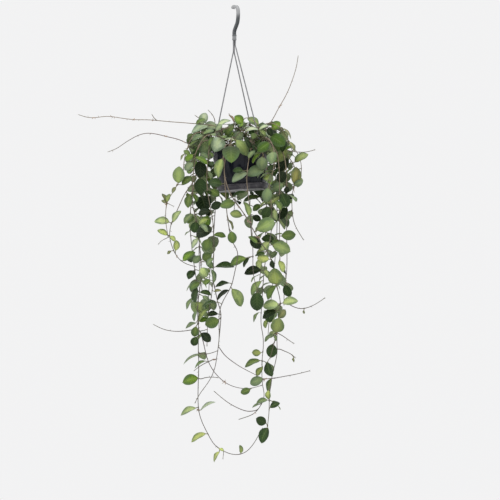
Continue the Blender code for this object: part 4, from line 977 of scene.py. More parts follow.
# Each stem: how far from the pot's middle it is rooted, how high it arches over the rim (both mm), and
# the route that it takes outside as across, down and depth in centimetres. Shoots leave it on the way.
stems = {
    "vine_outer_left": dict(root=52, crest=30, route=[
        (205, 131, -4), (194, 131, -4.4), (191, 137, -4.6), (188, 146, -4.8), (184, 158, -5),
        (183.5, 168, -5), (184, 177, -5), (178, 183, -4.8), (172, 194, -4.5), (166, 202, -4.3),
        (165.5, 222, -4), (168, 236, -4),
    ], shoots=[[
        (189, 144, -4.8), (186, 143.5, -5.4), (182, 140, -5.8), (176, 138, -6), (170, 137.5, -6),
        (165, 136.5, -6), (160, 134.5, -6), (148, 132, -6), (142, 133, -6), (136, 135.5, -5.5),
        (130, 139.5, -5), (124, 143, -5), (119, 148, -5), (113, 151, -5), (109, 151.5, -5),
    ]]),
    "vine_runner_left": dict(root=40, crest=46, route=[
        (222, 127, -2.5), (210, 124.5, -3.2), (198, 124, -3.6), (182, 122.5, -4), (172, 122, -4),
        (162, 121, -4), (154, 120, -4), (145, 119.5, -4), (135, 120, -3.5), (120, 118, -3),
        (108, 115.5, -3), (98, 117.5, -2.5), (94, 118.5, -2.5), (88, 118.5, -2), (84, 117, -2),
        (79.5, 115, -2),
    ], shoots=[[(155.5, 120, -4), (153.5, 117.5, -4.2), (152.5, 115.5, -4.3)]]),
    "vine_left_loop": dict(root=30, crest=22, route=[
        (203, 150, -3.4), (198, 168, -3), (195, 180, -2.5), (188, 189, -2.5), (184, 194, -2.5),
        (180, 204, -2.5), (177, 211, -2.5), (172, 220, -2.5), (169.5, 228, -2.2), (168.5, 236, -2),
        (170, 242, -2), (174, 253, -2), (177, 258, -2), (180, 262, -2), (186, 264.5, -2), (190, 266, -2),
        (195, 266.5, -2),
    ]),
    "vine_left_long": dict(root=50, crest=20, route=[
        (204, 138, -5.4), (197, 150, -5.6), (193, 175, -5), (192, 208, -4), (195, 212, -4), (197, 222, -4),
        (199, 240, -3.5), (201, 262, -3.5), (201, 280, -3.5), (198, 300, -3.5), (197.5, 318, -3.5),
        (199, 330, -3.5), (198, 345, -3.5), (199, 362, -3.5), (198.5, 375, -3.5), (198, 390, -3.5),
        (198, 409, -3.2), (200, 418, -3), (204, 427, -3), (208, 434, -3), (213, 445, -3), (219, 449, -3),
        (229, 454.5, -3), (236, 456, -3), (243, 455, -3), (248, 452, -3), (256, 441, -3), (259, 434, -2.6),
        (262, 429, -2.2),
    ], shoots=[
        [(199, 328, -3.5), (203, 340, -3.9), (205, 350, -4), (207, 360, -4), (212, 370, -4), (217, 376, -4),
         (223, 382, -4), (230, 386, -4), (238, 388.5, -4), (250, 389.5, -4), (256, 387.5, -4),
         (261, 385.5, -4)],
        [(198, 329, -3.5), (190, 330, -4), (184, 331.5, -4), (176, 332, -4), (163, 330, -4),
         (154.5, 325, -4)],
        [(199, 353.5, -3.5), (204, 355, -3), (209, 355, -2.6), (217, 351, -2.4)],
        [(198.5, 380, -3.5), (203, 377, -3), (210, 376, -2.6), (217, 377.5, -2.4)],
    ]),
    "vine_left_front": dict(root=34, crest=16, route=[
        (211, 138, -6.4), (208.5, 150, -6.8), (207, 172, -6.6), (206.5, 182, -6.4), (208, 195, -6.2),
        (211.5, 213, -6.2), (213, 220, -6.2), (214, 240, -6.2), (213.5, 262, -6), (213, 283, -6),
        (211, 300, -6), (208.5, 313, -6),
    ], shoots=[
        [(213, 281, -6), (215.5, 290, -5.5), (217, 302, -5.4), (220, 307, -5.6), (222, 313, -5.6),
         (221, 320, -5.6), (219, 340, -5.6), (218, 350, -5.6), (216.5, 358, -5.6), (216, 366, -5.6),
         (211, 379, -5.6), (205, 387, -5.6), (199, 394, -5.6), (195.5, 402, -5.6)],
        [(218.5, 346, -5.6), (223, 355, -6), (230, 360, -6), (240, 367, -6), (250, 372, -6), (256, 375, -6)],
        [(216.5, 358, -5.6), (210, 361, -6), (202, 364, -6.2), (195, 370, -6.2)],
    ]),
    "vine_middle": dict(root=52, crest=14, route=[
        (223, 150, -8.6), (224, 170, -9.3), (225.5, 192, -9.3), (227, 216, -9), (229.5, 230, -9),
        (230, 240, -9), (233, 244, -9), (237.5, 248, -9), (239.5, 253, -9), (236.5, 265, -8.8),
        (234, 275, -8.6), (232.5, 285, -8.5), (226, 296, -8.2), (221, 303, -8), (218.5, 316, -7.8),
        (219, 326, -7.8), (219.5, 335, -7.8), (218.5, 346, -7.8),
    ]),
    "vine_right_long": dict(root=30, crest=12, route=[
        (227, 152, -9.2), (223.5, 166, -9.8), (224.5, 178, -9.8), (229, 192, -9.6), (236, 203, -9.4),
        (240, 208, -9.4), (247, 218, -9.2), (257, 237, -8.8), (264, 247, -8.5), (268, 252, -8.2),
        (273, 262, -8), (276, 284, -7), (281, 300, -6.2), (280.5, 308, -6), (277, 330, -6), (277, 346, -6),
        (278, 350, -6), (277, 357, -6), (275, 365, -6), (272, 375, -6), (269, 400, -5.6),
        (269.5, 410, -5.4), (267.5, 426, -5),
    ], shoots=[
        [(277.5, 326, -6), (274, 345, -6.6), (270, 358, -6.8)],
        [(277, 333, -6), (281, 333.5, -5.6), (287, 339, -5.4), (293, 343, -5.4)],
        [(277.5, 348, -6), (285, 351.5, -6), (292, 352.5, -6), (294.5, 357, -6)],
    ]),
    "vine_right_inner": dict(root=52, crest=18, route=[
        (262, 150, -8.6), (267, 170, -8.2), (271, 200, -7.2), (271.5, 228, -6.8), (270.5, 240, -6.8),
        (265, 262, -6.4), (262, 300, -5.8), (260.5, 325, -5.6), (263.5, 335, -5.6), (263.5, 350, -5.6),
        (262, 357, -5.6), (262, 385, -5.4), (265, 391, -5.2), (265.5, 397, -5), (263, 403, -4.8),
        (258, 411, -4.6), (256, 414, -4.4), (252, 416, -4.2), (245, 417.5, -4), (240, 419, -4),
    ], shoots=[
        [(262, 379, -5.4), (268, 379, -5), (275, 378.5, -4.6), (283, 376.5, -4.4), (295, 374.6, -4.2),
         (309, 371, -4.2)],
        [(259, 409.5, -4.6), (250, 413, -5.2), (244, 411.5, -5.2), (237, 408, -5.2), (231, 405, -5.2),
         (224, 400, -5.2), (215, 392, -5.2)],
    ]),
    "vine_front": dict(root=14, crest=17, route=[
        (252, 141, -8.8), (251, 152, -9.3), (248, 162, -9.6), (247, 172, -9.6), (246, 182, -9.4),
        (248, 192, -9.2), (252, 232, -7.9), (253, 250, -7.6), (253, 275, -7.4), (258, 292, -7.2),
    ]),
    "vine_right_short": dict(root=38, crest=22, route=[
        (275, 146, -6.4), (279, 165, -6.2), (279.5, 204, -5.6), (279.5, 238, -5.2), (280, 262, -5),
    ]),
    "vine_right_low": dict(root=48, crest=26, route=[
        (281, 146, -4), (286, 165, -4), (286.5, 190, -3.6), (287, 215, -3.4), (286.5, 225, -3.4),
        (287, 270, -3.2), (284, 290, -3.2), (284, 304, -3.2),
    ], shoots=[
        [(287, 213.5, -3.4), (289, 215.5, -3.8), (291.5, 216, -4)],
        [(284.5, 301, -3.2), (290, 306, -3.6), (299, 310, -3.8), (304, 310, -3.8), (316, 304.5, -3.8),
         (324, 298.5, -3.8)],
    ]),
    "vine_outer_right": dict(root=30, crest=36, route=[
        (281, 146, -1.2), (287, 155, -1.5), (293, 162, -1.5), (296, 168, -1.5), (298, 175, -1.5),
        (296, 182, -1.5), (292.5, 190, -1.5), (291.5, 200, -1.5), (293, 222, -1.5), (297, 230, -1.5),
        (303, 239, -1.5),
    ], shoots=[[(284, 150, -1.3), (295, 152, -0.6), (306, 153, -0.4), (314, 150, -0.4)]]),
    "vine_runner_up": dict(root=38, crest=42, route=[
        (263, 132, 2), (268, 126, 1.4), (273.5, 119, 1), (276.5, 112, 0.8), (280, 105, 0.6), (285, 98, 0.4),
        (290, 87, 0.2), (292, 81, 0), (295, 73, 0), (297, 66, 0), (298, 57, 0),
    ]),
    "crown_left": dict(root=18, crest=48, route=[
        (216, 129, 0.6), (207, 124, 0.4), (200, 119, 0.2), (196, 116, 0),
    ], shoots=[[(214, 128, 0.6), (217, 121, 1), (212, 112, 1), (209, 111, 1)]]),
    "crown_left_front": dict(root=16, crest=30, route=[
        (214, 133, -6), (206, 134, -7.6), (201, 140, -8.6), (196, 152, -8.8), (191, 166, -8.6),
    ]),
    "crown_front": dict(root=33, crest=24, route=[
        (233, 136, -7.6), (232, 136, -9.6), (231, 141, -11.4), (230, 152, -12),
    ]),
    "crown_centre": dict(root=3, crest=66, route=[
        (241, 119, -1.5), (246, 116, -2.5), (252, 118, -4), (257, 124, -5.5),
    ], shoots=[[(236, 124, -0.6), (232, 119, -0.8), (229.5, 114.5, -1)]]),
    "crown_right": dict(root=22, crest=50, route=[
        (262, 124, -3), (271, 121, -3.6), (280, 126, -4.4), (286, 135, -5), (291, 146, -5),
    ]),
    "crown_right_front": dict(root=24, crest=26, route=[
        (266, 137, -8), (271, 139, -9.4), (274, 147, -10.2), (275, 160, -10.2), (272, 176, -10),
        (268, 190, -9.8),
    ]),
    "crown_right_back": dict(root=50, crest=34, route=[
        (270, 136, 2.6), (282, 138, 2.8), (292, 145, 3), (299, 154, 3), (302, 164, 3), (301, 178, 3),
    ]),
    "back_right": dict(root=24, crest=22, route=[
        (272, 150, 5.5), (276, 180, 6), (277, 230, 6), (274, 270, 6), (270, 310, 6), (268, 335, 6),
    ]),
    "back_right_inner": dict(root=52, crest=16, route=[
        (262, 150, 8.6), (266, 185, 9), (266, 230, 9), (262, 262, 8.6), (258, 290, 8.4),
    ]),
    "back_middle_right": dict(root=30, crest=24, route=[
        (247, 148, 10.2), (250, 180, 10.6), (250, 215, 10.4), (252, 245, 10),
    ]),
    "back_middle": dict(root=50, crest=14, route=[
        (236, 148, 9.6), (236, 180, 10), (234, 212, 10),
    ]),
    "back_left_inner": dict(root=30, crest=20, route=[
        (222, 148, 9.4), (217, 180, 9.8), (214, 230, 9.6), (210, 270, 9.2), (208, 310, 9), (207, 345, 9),
    ]),
    "back_left": dict(root=50, crest=24, route=[
        (212, 147, 7.6), (205, 180, 8.2), (200, 230, 8), (199, 262, 7.6), (202, 290, 7.4),
    ]),
    "back_left_outer": dict(root=32, crest=28, route=[
        (202, 148, 4.6), (195, 180, 5.2), (190, 215, 5), (192, 250, 4.6), (197, 285, 4.4), (199, 320, 4.4),
    ]),
    "crown_back": dict(root=43, crest=44, route=[
        (246, 131, 7), (250, 128, 9), (254, 134, 11), (258, 148, 12), (260, 165, 12),
    ]),
    "crown_back_left": dict(root=18, crest=40, route=[
        (222, 134, 5), (214, 130, 7), (206, 136, 8.6), (200, 150, 9.2), (196, 166, 9.4),
    ]),
}


def rootedRoute(stem):
    # From the bottom of its hole, up and over the rim, to where the route outside begins
    first = potFrameBack @ seen(*stem["route"][0])
    turn = math.atan2(first.y, first.x)
    inside = stem["root"] * mm
    root = around(turn, inside, 0)
    reach = (inside + max(inside + growth["bendPast"], growth["bendReach"])) / 2
    lowest = -soil["drop"] - soil["rootDeep"] + soil["gap"]
    start = [root + Vector((0, 0, height)) for height in (lowest, lowest / 2, -1 * mm)]
    start.append(around(turn, reach, stem["crest"] * mm * growth["bendRise"]))
    if first.xy.length > pot["rimRadius"] + growth["overPast"]:
        start.append(around(turn, growth["overReach"], stem["crest"] * mm))
    return [potFrame @ point for point in start] + [seen(*place) for place in stem["route"]], root


def apart(here, others, share, owners=None):
    # The push on every point away from the others that are nearer than two stems may be
    gap = here[:, None, :] - others[None, :, :]
    far = np.linalg.norm(gap, axis=2) + 1e-9
    near = far < growth["stemClear"]
    if owners is not None:
        near &= owners[:, None] != owners[None, :]
    push = np.where(near, (growth["stemClear"] - far) / far * share, 0)
    return (gap * push[:, :, None]).sum(axis=1)


def clearOfPot(here, index):
    # The push on every point out from the pot's wall and up from its lip
    turn = np.array(potFrameBack)
    back = np.array(potFrame)
    inner = here @ turn[:3, :3].T + turn[:3, 3]
    radius = np.hypot(inner[:, 0], inner[:, 1])
    height = inner[:, 2]
    low, high = easing["lip"]
    beside = (height < easing["besideHigh"]) & (height > -pot["tall"] - easing["besideLow"])
    beside &= index > easing["besideFrom"]
    out = np.where(beside, np.clip(pot["rimRadius"] + easing["wallClear"] - radius, 0, None), 0)
    above = (radius > low) & (radius < high) & (height > 0) & (height < easing["lipClear"])
    lift = np.where(above & (index > easing["aboveFrom"]), easing["lipClear"] - height, 0)
    aside = np.stack([inner[:, 0] / radius * out, inner[:, 1] / radius * out, lift], axis=1)
    return aside @ back[:3, :3].T


def relax(lines):
    # Moves crowded stems apart, and clear of the pot, saucer and strands, by small steps
    home = np.vstack([line["points"] for line in lines])
    owner = np.concatenate([[line["plant"]] * len(line["points"]) for line in lines])
    index = np.concatenate([np.arange(len(line["points"])) for line in lines])
    held = np.concatenate([np.arange(len(line["points"])) < line["fixed"] for line in lines])
    strands = np.vstack([smooth(legRoute(name)[2:], easing["strandStep"]) for name in legs["azimuths"]])
    ends = np.cumsum([len(line["points"]) for line in lines])[:-1]
    here = home.copy()
    for step in range(easing["rounds"]):
        push = apart(here, here, 0.5, owner) + apart(here, strands, 1) + clearOfPot(here, index)
        here = here + np.where(held[:, None], 0, push * easing["pace"] + (home - here) * easing["homing"])
        for piece, line in zip(np.split(here, ends), lines):
            middle = piece.copy()
            middle[1:-1] = piece[1:-1] * 0.8 + (piece[:-2] + piece[2:]) * easing["lent"]
            free = np.arange(len(piece)) >= line["fixed"]
            piece[:] = np.where(free[:, None], middle, piece)
    for piece, line in zip(np.split(here, ends), lines):
        line["points"] = piece


def onLine(point, line):
    # The nearest point of a row of straight runs
    best = None
    for a, b in zip(line, line[1:]):
        run = b - a
        share = max(0, min(1, (point - a).dot(run) / run.length_squared))
        near = a + run * share
        if best is None or (near - point).length < (best - point).length:
            best = near
    return best


def thinned(points, limit):
    # The fewest points that keep a line within this limit of its own course
    if len(points) < 3:
        return points
    run = points[-1] - points[0]
    length = np.linalg.norm(run) + 1e-9
    offset = points - points[0]
    along = np.clip(offset @ run / length**2, 0, 1)
    away = np.linalg.norm(offset - along[:, None] * run, axis=1)
    worst = away.argmax()
    if away[worst] < limit:
        return np.array([points[0], points[-1]])
    return np.vstack([thinned(points[:worst + 1], limit)[:-1], thinned(points[worst:], limit)])


def keepRoot(points, fixed):
    # The thinned line, with every point kept that stands in the soil
    if not fixed:
        return thinned(points, growth["lineLimit"])
    return np.vstack([points[:1], thinned(points[fixed - 1:], growth["lineLimit"])])


def growLines():
    # The course of every stem and of every shoot, which starts on its own plant
    lines = []
    for plant, (name, stem) in enumerate(stems.items()):
        route, root = rootedRoute(stem)
        points = smooth(route, growth["stemStep"])
        for index in range(growth["rootPoints"]):
            height = (potFrameBack @ Vector(points[index])).z
            points[index] = potFrame @ Vector((root.x, root.y, height))
        lines.append(dict(name=name, plant=plant, fixed=growth["rootPoints"], points=points, main=True))
        for shoot in stem.get("shoots", []):
            points = smooth([seen(*place) for place in shoot], growth["stemStep"])
            lines.append(dict(name=name, plant=plant, fixed=0, points=points, main=False))
    relax(lines)
    for line in lines:
        if not line["main"]:
            own = [other for other in lines if other["plant"] == line["plant"] and other is not line]
            trunk = np.vstack([other["points"] for other in own])
            nearest = trunk[np.linalg.norm(trunk - line["points"][0], axis=1).argmin()]
            line["points"] = np.vstack([nearest, line["points"][1:]])
    return lines


# Leaves that show from the front: base, tip and width of each, as the eye sees it, and its kind
shownLeaves = [
    (246, 125, 237.5, 118, 9.5, "b"), (261, 126, 250, 118, 8, "l"), (258, 126, 267, 124.5, 4, "d"),
    (272, 129, 280.5, 121.5, 9, "b"), (282, 128, 292, 138, 3, "n"), (275, 134, 284, 151, 14, "h"),
    (272, 141, 260.5, 149, 10, "h"), (289, 142, 295.5, 151, 4.5, "n"), (287, 150, 277, 162, 10, "o"),
    (295, 162, 308, 153, 8, "o"), (294, 184, 297, 166.5, 11, "r"), (288, 158, 277, 172, 12, "v"),
    (284, 171, 279, 183, 10, "v"), (294, 185, 303, 181, 6.5, "g"), (289, 184, 287, 191, 5.5, "v"),
    (201, 124, 206, 112.5, 9, "w"), (208, 126, 190.5, 131.5, 8, "w"), (217, 127, 204, 124.5, 9, "w"),
    (218, 126, 230, 119, 5.5, "w"), (203, 136, 206, 157, 13, "g"), (222, 136, 216.5, 150, 15, "w"),
    (236, 141, 224, 138.5, 3, "w"), (233, 126, 225, 137, 8, "m"), (246, 130, 236, 139, 9.5, "s"),
    (236, 140, 248, 155, 11.5, "l"), (231, 146, 231.5, 162.5, 19.5, "f"), (222, 159, 217, 177, 9.5, "l"),
    (247, 173, 231.5, 180.5, 8.5, "s"), (243, 171, 233, 170, 6, "d"), (262, 157, 262, 170, 11, "g"),
    (267, 170, 249, 174.5, 11, "g"), (261, 178, 259, 198, 11, "d"), (283, 184, 272, 190, 9.5, "g"),
    (193, 155, 185, 160.5, 6.5, "b"), (193, 156, 205, 162, 6, "b"), (201, 161, 200, 178, 12, "v"),
    (200, 178, 201, 195, 12, "d"), (195, 162, 187, 169.5, 7.5, "s"), (197, 143, 194, 155, 6, "d"),
    (202, 136, 192, 140, 5, "g"), (199, 188, 186, 190, 8, "g"), (222, 184, 208, 182, 9, "d"),
    (266, 130, 279, 135, 6, "v"), (178.5, 183, 179, 166, 12, "l"), (182, 185, 192, 176, 7.5, "m"),
    (186, 153, 180, 160, 2.5, "n"), (176, 187, 172, 193, 4, "n"), (166, 203, 163, 193, 4, "n"),
    (167, 202, 169.5, 193.5, 5, "o"), (165.5, 203, 161.5, 200, 3, "n"), (169, 222, 154, 220.5, 7.8, "p"),
    (173, 222, 180, 210, 6.5, "p"), (167, 235, 157.5, 229.5, 5.5, "y"), (170, 236, 175.5, 241, 4.5, "y"),
    (175.5, 250.5, 177, 240, 6.5, "y"), (171, 251, 167, 254, 3, "n"), (180.5, 263.5, 192, 254, 7.5, "b"),
    (190, 195, 187.5, 208, 8, "m"), (200, 194, 204, 210, 18, "v"), (210, 211, 198, 213.5, 7, "v"),
    (195.5, 212, 186, 220.5, 6.5, "g"), (208, 219, 198.5, 224, 6, "o"), (196, 222, 194, 233, 9.5, "d"),
    (192, 232.5, 187, 236, 1.5, "g"), (215, 228, 199, 236, 11, "v"), (214, 235, 226, 236, 5.5, "m"),
    (198, 239, 191.5, 248, 5.5, "w"), (209, 239, 205, 251, 10.5, "m"), (200, 256, 193, 263, 7, "g"),
    (201, 261, 210, 256, 9.5, "m"), (213, 258, 207, 265, 5, "g"), (211, 190, 219.5, 196, 8, "m"),
    (221, 203, 211, 208, 8, "v"), (235, 203, 220, 206, 9.5, "m"), (213, 266, 232, 264.5, 6.2, "d"),
    (201, 268, 207, 277, 9.5, "p"), (210, 280, 203.5, 284, 5, "m"), (203, 281, 192.5, 287, 7, "m"),
    (194.5, 282.5, 185.5, 290.5, 1.6, "g"), (197, 288, 194, 303, 7, "d"), (211, 295, 200, 291, 4.5, "d"),
    (213.5, 283, 212.5, 269, 4.5, "g"), (212, 292.5, 219, 291, 2.8, "n"),
    (231, 281.5, 217, 284.5, 4.2, "v"), (217.5, 300, 228, 289, 4.2, "v"), (216, 302, 201.5, 305.5, 3, "d"),
    (194, 298, 185, 309, 4.5, "g"), (199, 321, 207, 308, 5.5, "o"), (197, 311, 193, 321, 4, "g"),
    (218, 314, 206.5, 314.5, 5, "v"), (199, 321, 209, 319, 5, "b"), (218.5, 320, 205, 325, 11.5, "m"),
    (196, 323, 185, 327.5, 3.5, "g"), (196, 326.5, 194, 337, 8, "m"), (201, 333, 211, 341.5, 8.5, "v"),
    (196, 337, 193, 346, 8, "d"), (201, 354.5, 181, 363.5, 1.6, "g"), (205, 361, 194, 367, 2.4, "g"),
    (198, 378, 182, 382, 10, "b"), (196, 408, 180, 414.5, 4.6, "p"), (201, 410, 215, 401, 1.8, "w"),
    (207.5, 431, 192.5, 438.5, 4.6, "y"), (221, 450, 214.5, 460, 3.2, "y"), (217, 449, 222, 451, 2.5, "y"),
    (241, 453, 240.5, 445, 4, "o"), (250, 389.5, 240.5, 393, 6.8, "m"), (232, 289, 242, 306, 10, "l"),
    (228.5, 220, 233.5, 229.5, 2.5, "n"), (235, 229, 237, 241, 9, "m"), (245, 217, 233, 214, 8, "o"),
    (249, 216, 245, 201.5, 6, "l"), (259, 197, 243, 200, 6, "m"), (261, 205, 252, 210.5, 6.5, "m"),
    (246, 192, 232, 196, 3.5, "d"), (261, 220, 252, 216, 7, "v"), (257, 230, 274, 220, 13.5, "l"),
    (269, 207, 263.5, 218, 9.5, "d"), (268, 188, 266, 202, 10, "g"), (281.5, 193, 288, 207, 10.5, "d"),
    (287, 208, 279.5, 219, 8.5, "v"), (280, 196, 267, 204, 5, "y"), (275, 209, 276, 220.5, 5.5, "p"),
    (243, 235.5, 251.5, 248, 10.5, "v"), (257, 243, 249, 236, 5, "m"), (269, 242, 261, 250, 8, "p"),
    (274, 240, 261, 238, 8, "d"), (273, 245, 290.5, 251, 12, "l"), (281.5, 236, 296, 234.5, 10, "m"),
    (283, 234, 273, 235.5, 1.5, "g"), (269, 259, 257, 258, 8.5, "y"), (268, 253, 258, 255, 3, "d"),
    (259, 256, 256.5, 269, 6.5, "p"), (246, 258, 230, 264.5, 8.5, "m"), (249, 258, 243, 267, 4, "d"),
    (272, 260, 273, 268.5, 5, "v"), (279, 261, 284, 272, 6.5, "y"), (286, 274, 283, 265, 2.5, "d"),
    (261, 270, 244, 272.5, 8.5, "v"), (265, 277, 254, 291, 6.5, "l"), (257, 292, 257, 311, 13.5, "d"),
    (278, 304, 263, 306, 9.5, "p"), (276, 311, 262, 317.5, 7, "v"), (276, 285.5, 266.5, 299, 6.5, "m"),
    (276, 284, 274, 268.5, 14.5, "o"), (285, 285, 290, 297, 8.5, "d"), (283, 303, 298, 300, 8, "p"),
    (258.5, 312.5, 253, 322, 2.6, "g"), (267, 320, 264.5, 328.5, 4.6, "o"), (276, 332, 279, 318, 13.5, "o"),
    (276, 320, 283, 312, 8, "n"), (274, 334.5, 264, 341, 3.5, "g"), (274, 335, 276.5, 341, 3, "g"),
    (271, 341.5, 269.5, 355.5, 10.8, "d"), (263.5, 353, 254.5, 352.5, 7, "o"),
    (261.5, 359, 246, 364.5, 4.8, "m"), (264.5, 376.5, 252, 382, 9, "g"), (265, 364, 258, 372.5, 5.5, "o"),
    (267.5, 362, 271, 377, 8.5, "d"), (271.5, 379, 267.5, 393, 5, "m"),
    (268.5, 390.5, 268, 399.5, 5.6, "y"), (267, 400, 256, 402.5, 4.2, "g"),
    (259, 404.5, 252, 407, 1.5, "g"), (267.5, 408, 277, 402.5, 5.5, "d"), (266, 423, 256, 418.5, 9.2, "d"),
    (268, 428, 260, 443, 9.5, "d"), (294, 354, 294, 359, 2, "n"), (304, 310, 304, 314, 2, "n"),
]


class Leaf:
    # A leaf's root on its stem, the base and direction of its blade, its face and its size
    def __init__(self, root, base, along, face, length, width):
        self.root = root
        self.base = base
        self.along = along.normalized()
        self.side = face.cross(self.along).normalized()
        self.face = self.along.cross(self.side).normalized()
        self.length = length
        self.width = width

    def at(self, share):
        # A point on the straight line from the blade's base to its tip
        return self.base + self.along * self.length * share

    def points(self, extra):
        # The plain leaf, this much larger all round: the root, three rings of four, and the tip
        droop = growth["droop"]
        thin = growth["stalkThick"] + extra
        start = self.base
        aside, lift = self.side * thin, self.face * thin
        rings = [[start - aside, start + lift, start + aside, start - lift]]
        for place, share, full in ((0.22, 0.92, 1.0), (0.72, 0.95, 0.8)):
            arch = self.face * self.length * (droop * math.sin(place * math.pi) - droop * place)
            middle = self.at(place) + arch
            half = self.width / 2 * share + extra
            thick = growth["leafThick"] / 2 * full + extra
            aside, lift = self.side * half, self.face * half * growth["fold"]
            rings.append([
                middle - aside + lift, middle + self.face * thick,
                middle + aside + lift, middle - self.face * thick,
            ])
        tip = self.base + self.along * (self.length + extra) - self.face * self.length * droop
        return self.root, rings, tip

    def tree(self, bladeOnly=False):
        # A slightly swollen copy of the leaf, to test what it would touch
        first, rings, tip = self.points(growth["clearance"])
        if bladeOnly:
            first = self.base.lerp(self.at(1), 0.06)
            rings = rings[1:]
        corners = [first] + [corner for ring in rings for corner in ring] + [tip]
        faces = []
        for corner in range(4):
            after = (corner + 1) % 4
            faces.append((0, 1 + after, 1 + corner))
            for ring in range(len(rings) - 1):
                low = 1 + ring * 4
                faces.append((low + corner, low + after, low + 4 + after))
                faces.append((low + corner, low + 4 + after, low + 4 + corner))
            low = 1 + (len(rings) - 1) * 4
            faces.append((low + corner, low + after, len(corners) - 1))
        return BVHTree.FromPolygons(corners, faces), corners


def box(corners):
    low = [min(corner[axis] for corner in corners) for axis in range(3)]
    high = [max(corner[axis] for corner in corners) for axis in range(3)]
    return low, high


class Crowd:
    # What is already there, so that a new leaf can be tested against it
    def __init__(self):
        self.things = []

    def add(self, tree, corners, plant):
        self.things.append((tree, *box(corners), plant))

    def blocks(self, leaf, plant):
        # On its own plant only a leaf's blade is tested, since its stalk has to meet the stem
        whole, corners = leaf.tree()
        blade = leaf.tree(bladeOnly=True)[0]
        low, high = box(corners)
        for tree, bottom, top, owner in self.things:
            if all(bottom[axis] <= high[axis] and low[axis] <= top[axis] for axis in range(3)):
                if tree.overlap(blade if owner == plant else whole):
                    return True
        return False


# Which stem a shown leaf grows from: how far off it may be seen, and what counts for and against it
choosing = {"nearest": 0.3, "farthest": 10, "ideal": 2.6, "behind": 0.3, "depth": 12, "most": 10}


def stemChoices(start, ahead, lines):
    # The places on the stems that suit a leaf best whose blade starts here and points ahead
    choices = []
    for line in lines:
        for index, (point, place) in enumerate(zip(line["points"], line["spots"])):
            gap = (start - place).length
            if index > line["fixed"] and choosing["nearest"] < gap < choosing["farthest"]:
                behind = (start - place).dot(ahead) * choosing["behind"]
                cost = abs(gap - choosing["ideal"]) - behind + point[1] * choosing["depth"]
                choices.append((cost, line, index))
    choices.sort(key=lambda choice: choice[0])
    tries = []
    for cost, line, index in choices:
        if all(other is not line or abs(index - near) > 1 for other, near in tries):
            tries.append((line, index))
    return tries[:choosing["most"]]


def stalkEnd(start, root, shift, along, toward):
    # Where the blade begins that is seen at start, this many mm before its root and within its reach
    base = seen(start.x, start.y, (root.y - shift * mm) * 100)
    stalk = base - root
    if stalk.length > growth["stalkReach"]:
        base = root + stalk * (growth["stalkReach"] / stalk.length)
    if stalk.length < growth["stalkLeast"]:
        base = root + (stalk + along * 6 * mm).normalized() * 5 * mm
    if stalk.normalized().dot(along) < 0.15:
        outward = Vector((0, -0.5 * toward, 0))
        base = root + (stalk.normalized() + along * 1.3 + outward).normalized() * 8 * mm
    return base


def shownLeaf(view, lines, crowd):
    # Grows the leaf seen between its two marks from the stem that fits it best, and gives both
    start = Vector(view[0:2])
    way = Vector(view[2:4]) - start
    wide = view[4]
    ratio = min(max(wide / way.length, growth["leafRatio"]), growth["broadest"])
    length = min(max(way.length, wide / ratio) * unit, growth["longest"])
    lean = math.acos(min(1, way.length * unit / length))
    roll = math.acos(min(1, wide * unit / (length * ratio)))
    flat = Vector((way.x, 0, -way.y)).normalized()
    tries = stemChoices(start, way.normalized(), lines)
    for shrink, (line, index), toward, turn in product(growth["shrinks"], tries, (1, -1), (1, -1)):
        root = Vector(line["points"][index])
        along = flat * math.cos(lean) + Vector((0, -toward * math.sin(lean), 0))
        face = Vector((0, -1, 0))
        face = (face - along * face.dot(along)).normalized()
        face = Matrix.Rotation(roll * turn, 3, along) @ face
        if face.z < -0.15 and roll > 0.3 and turn == 1:
            continue
        for shift in growth["shifts"]:
            size = length * shrink
            leaf = Leaf(root, stalkEnd(start, root, shift, along, toward), along, face, size, size * ratio)
            if not crowd.blocks(leaf, line["plant"]):
                return leaf, line
    return None


def placeShown(marks, lines, crowd):
    # The leaves of a list of marks, largest first, each with its stem and its kind
    placed = []
    for view in sorted(marks, key=lambda view: -math.dist(view[0:2], view[2:4]) * view[4]):
        found = shownLeaf(view, lines, crowd)
        if found:
            leaf, line = found
            crowd.add(*leaf.tree(), line["plant"])
            placed.append((leaf, line, view[5]))
    return placed


def inCrown(point):
    # True over the pot, where the stems arch and the leaves lie thick
    inner = potFrameBack @ point
    return inner.xy.length < growth["crownRadius"] and inner.z > growth["crownLow"]


def suitsView(leaf, shown):
    # True for a leaf that neither stands out from the outline seen nor hides the pot or a shown leaf
    middle = leaf.at(0.5)
    for point in (middle, leaf.at(1)):
        place = spot(point)
        if place.y < np.interp(place.x, outline["across"], outline["down"]):
            return False
        if place.y > outline["curtainTop"]:
            if not any(low < place.x < high for low, high in outline["curtains"]):
                return False
        left, right, top, bottom = outline["pot"]
        if left < place.x < right and top < place.y < bottom and point.y < 0:
            return False
    place = spot(middle)
    left, right = growth["flanks"]
    if place.y > growth["shoulder"] and not left < place.x < right or place.y > growth["lowest"]:
        return False
    for other in shown:
        centre = other.at(0.5)
        away = (spot(centre) - place).length * unit
        if middle.y < centre.y and away < (other.length + leaf.length) * growth["hiding"]:
            return False
    return True


def coveredSpot(place):
    # True where a shown leaf lies in front of this spot
    for view in shownLeaves:
        start = Vector(view[0:2])
        way = Vector(view[2:4]) - start
        aside = place - start
        along = aside.dot(way) / way.length
        if -1 < along < way.length + 1 and abs(aside.cross(way)) / way.length < view[4] / 2 + 1:
            return True
    return False


# How a leaf that isn't a shown one is held: its turn, how far it hangs, and its stalk's length in mm
holding = {
    "jitter": (-0.5, 0.5),
    "quarter": (-0.3, 0.3),
    "crownDrop": (-0.2, 0.6),
    "drop": (0.1, 0.9),
    "stalks": (6, 10),
    "smaller": 0.035,
}


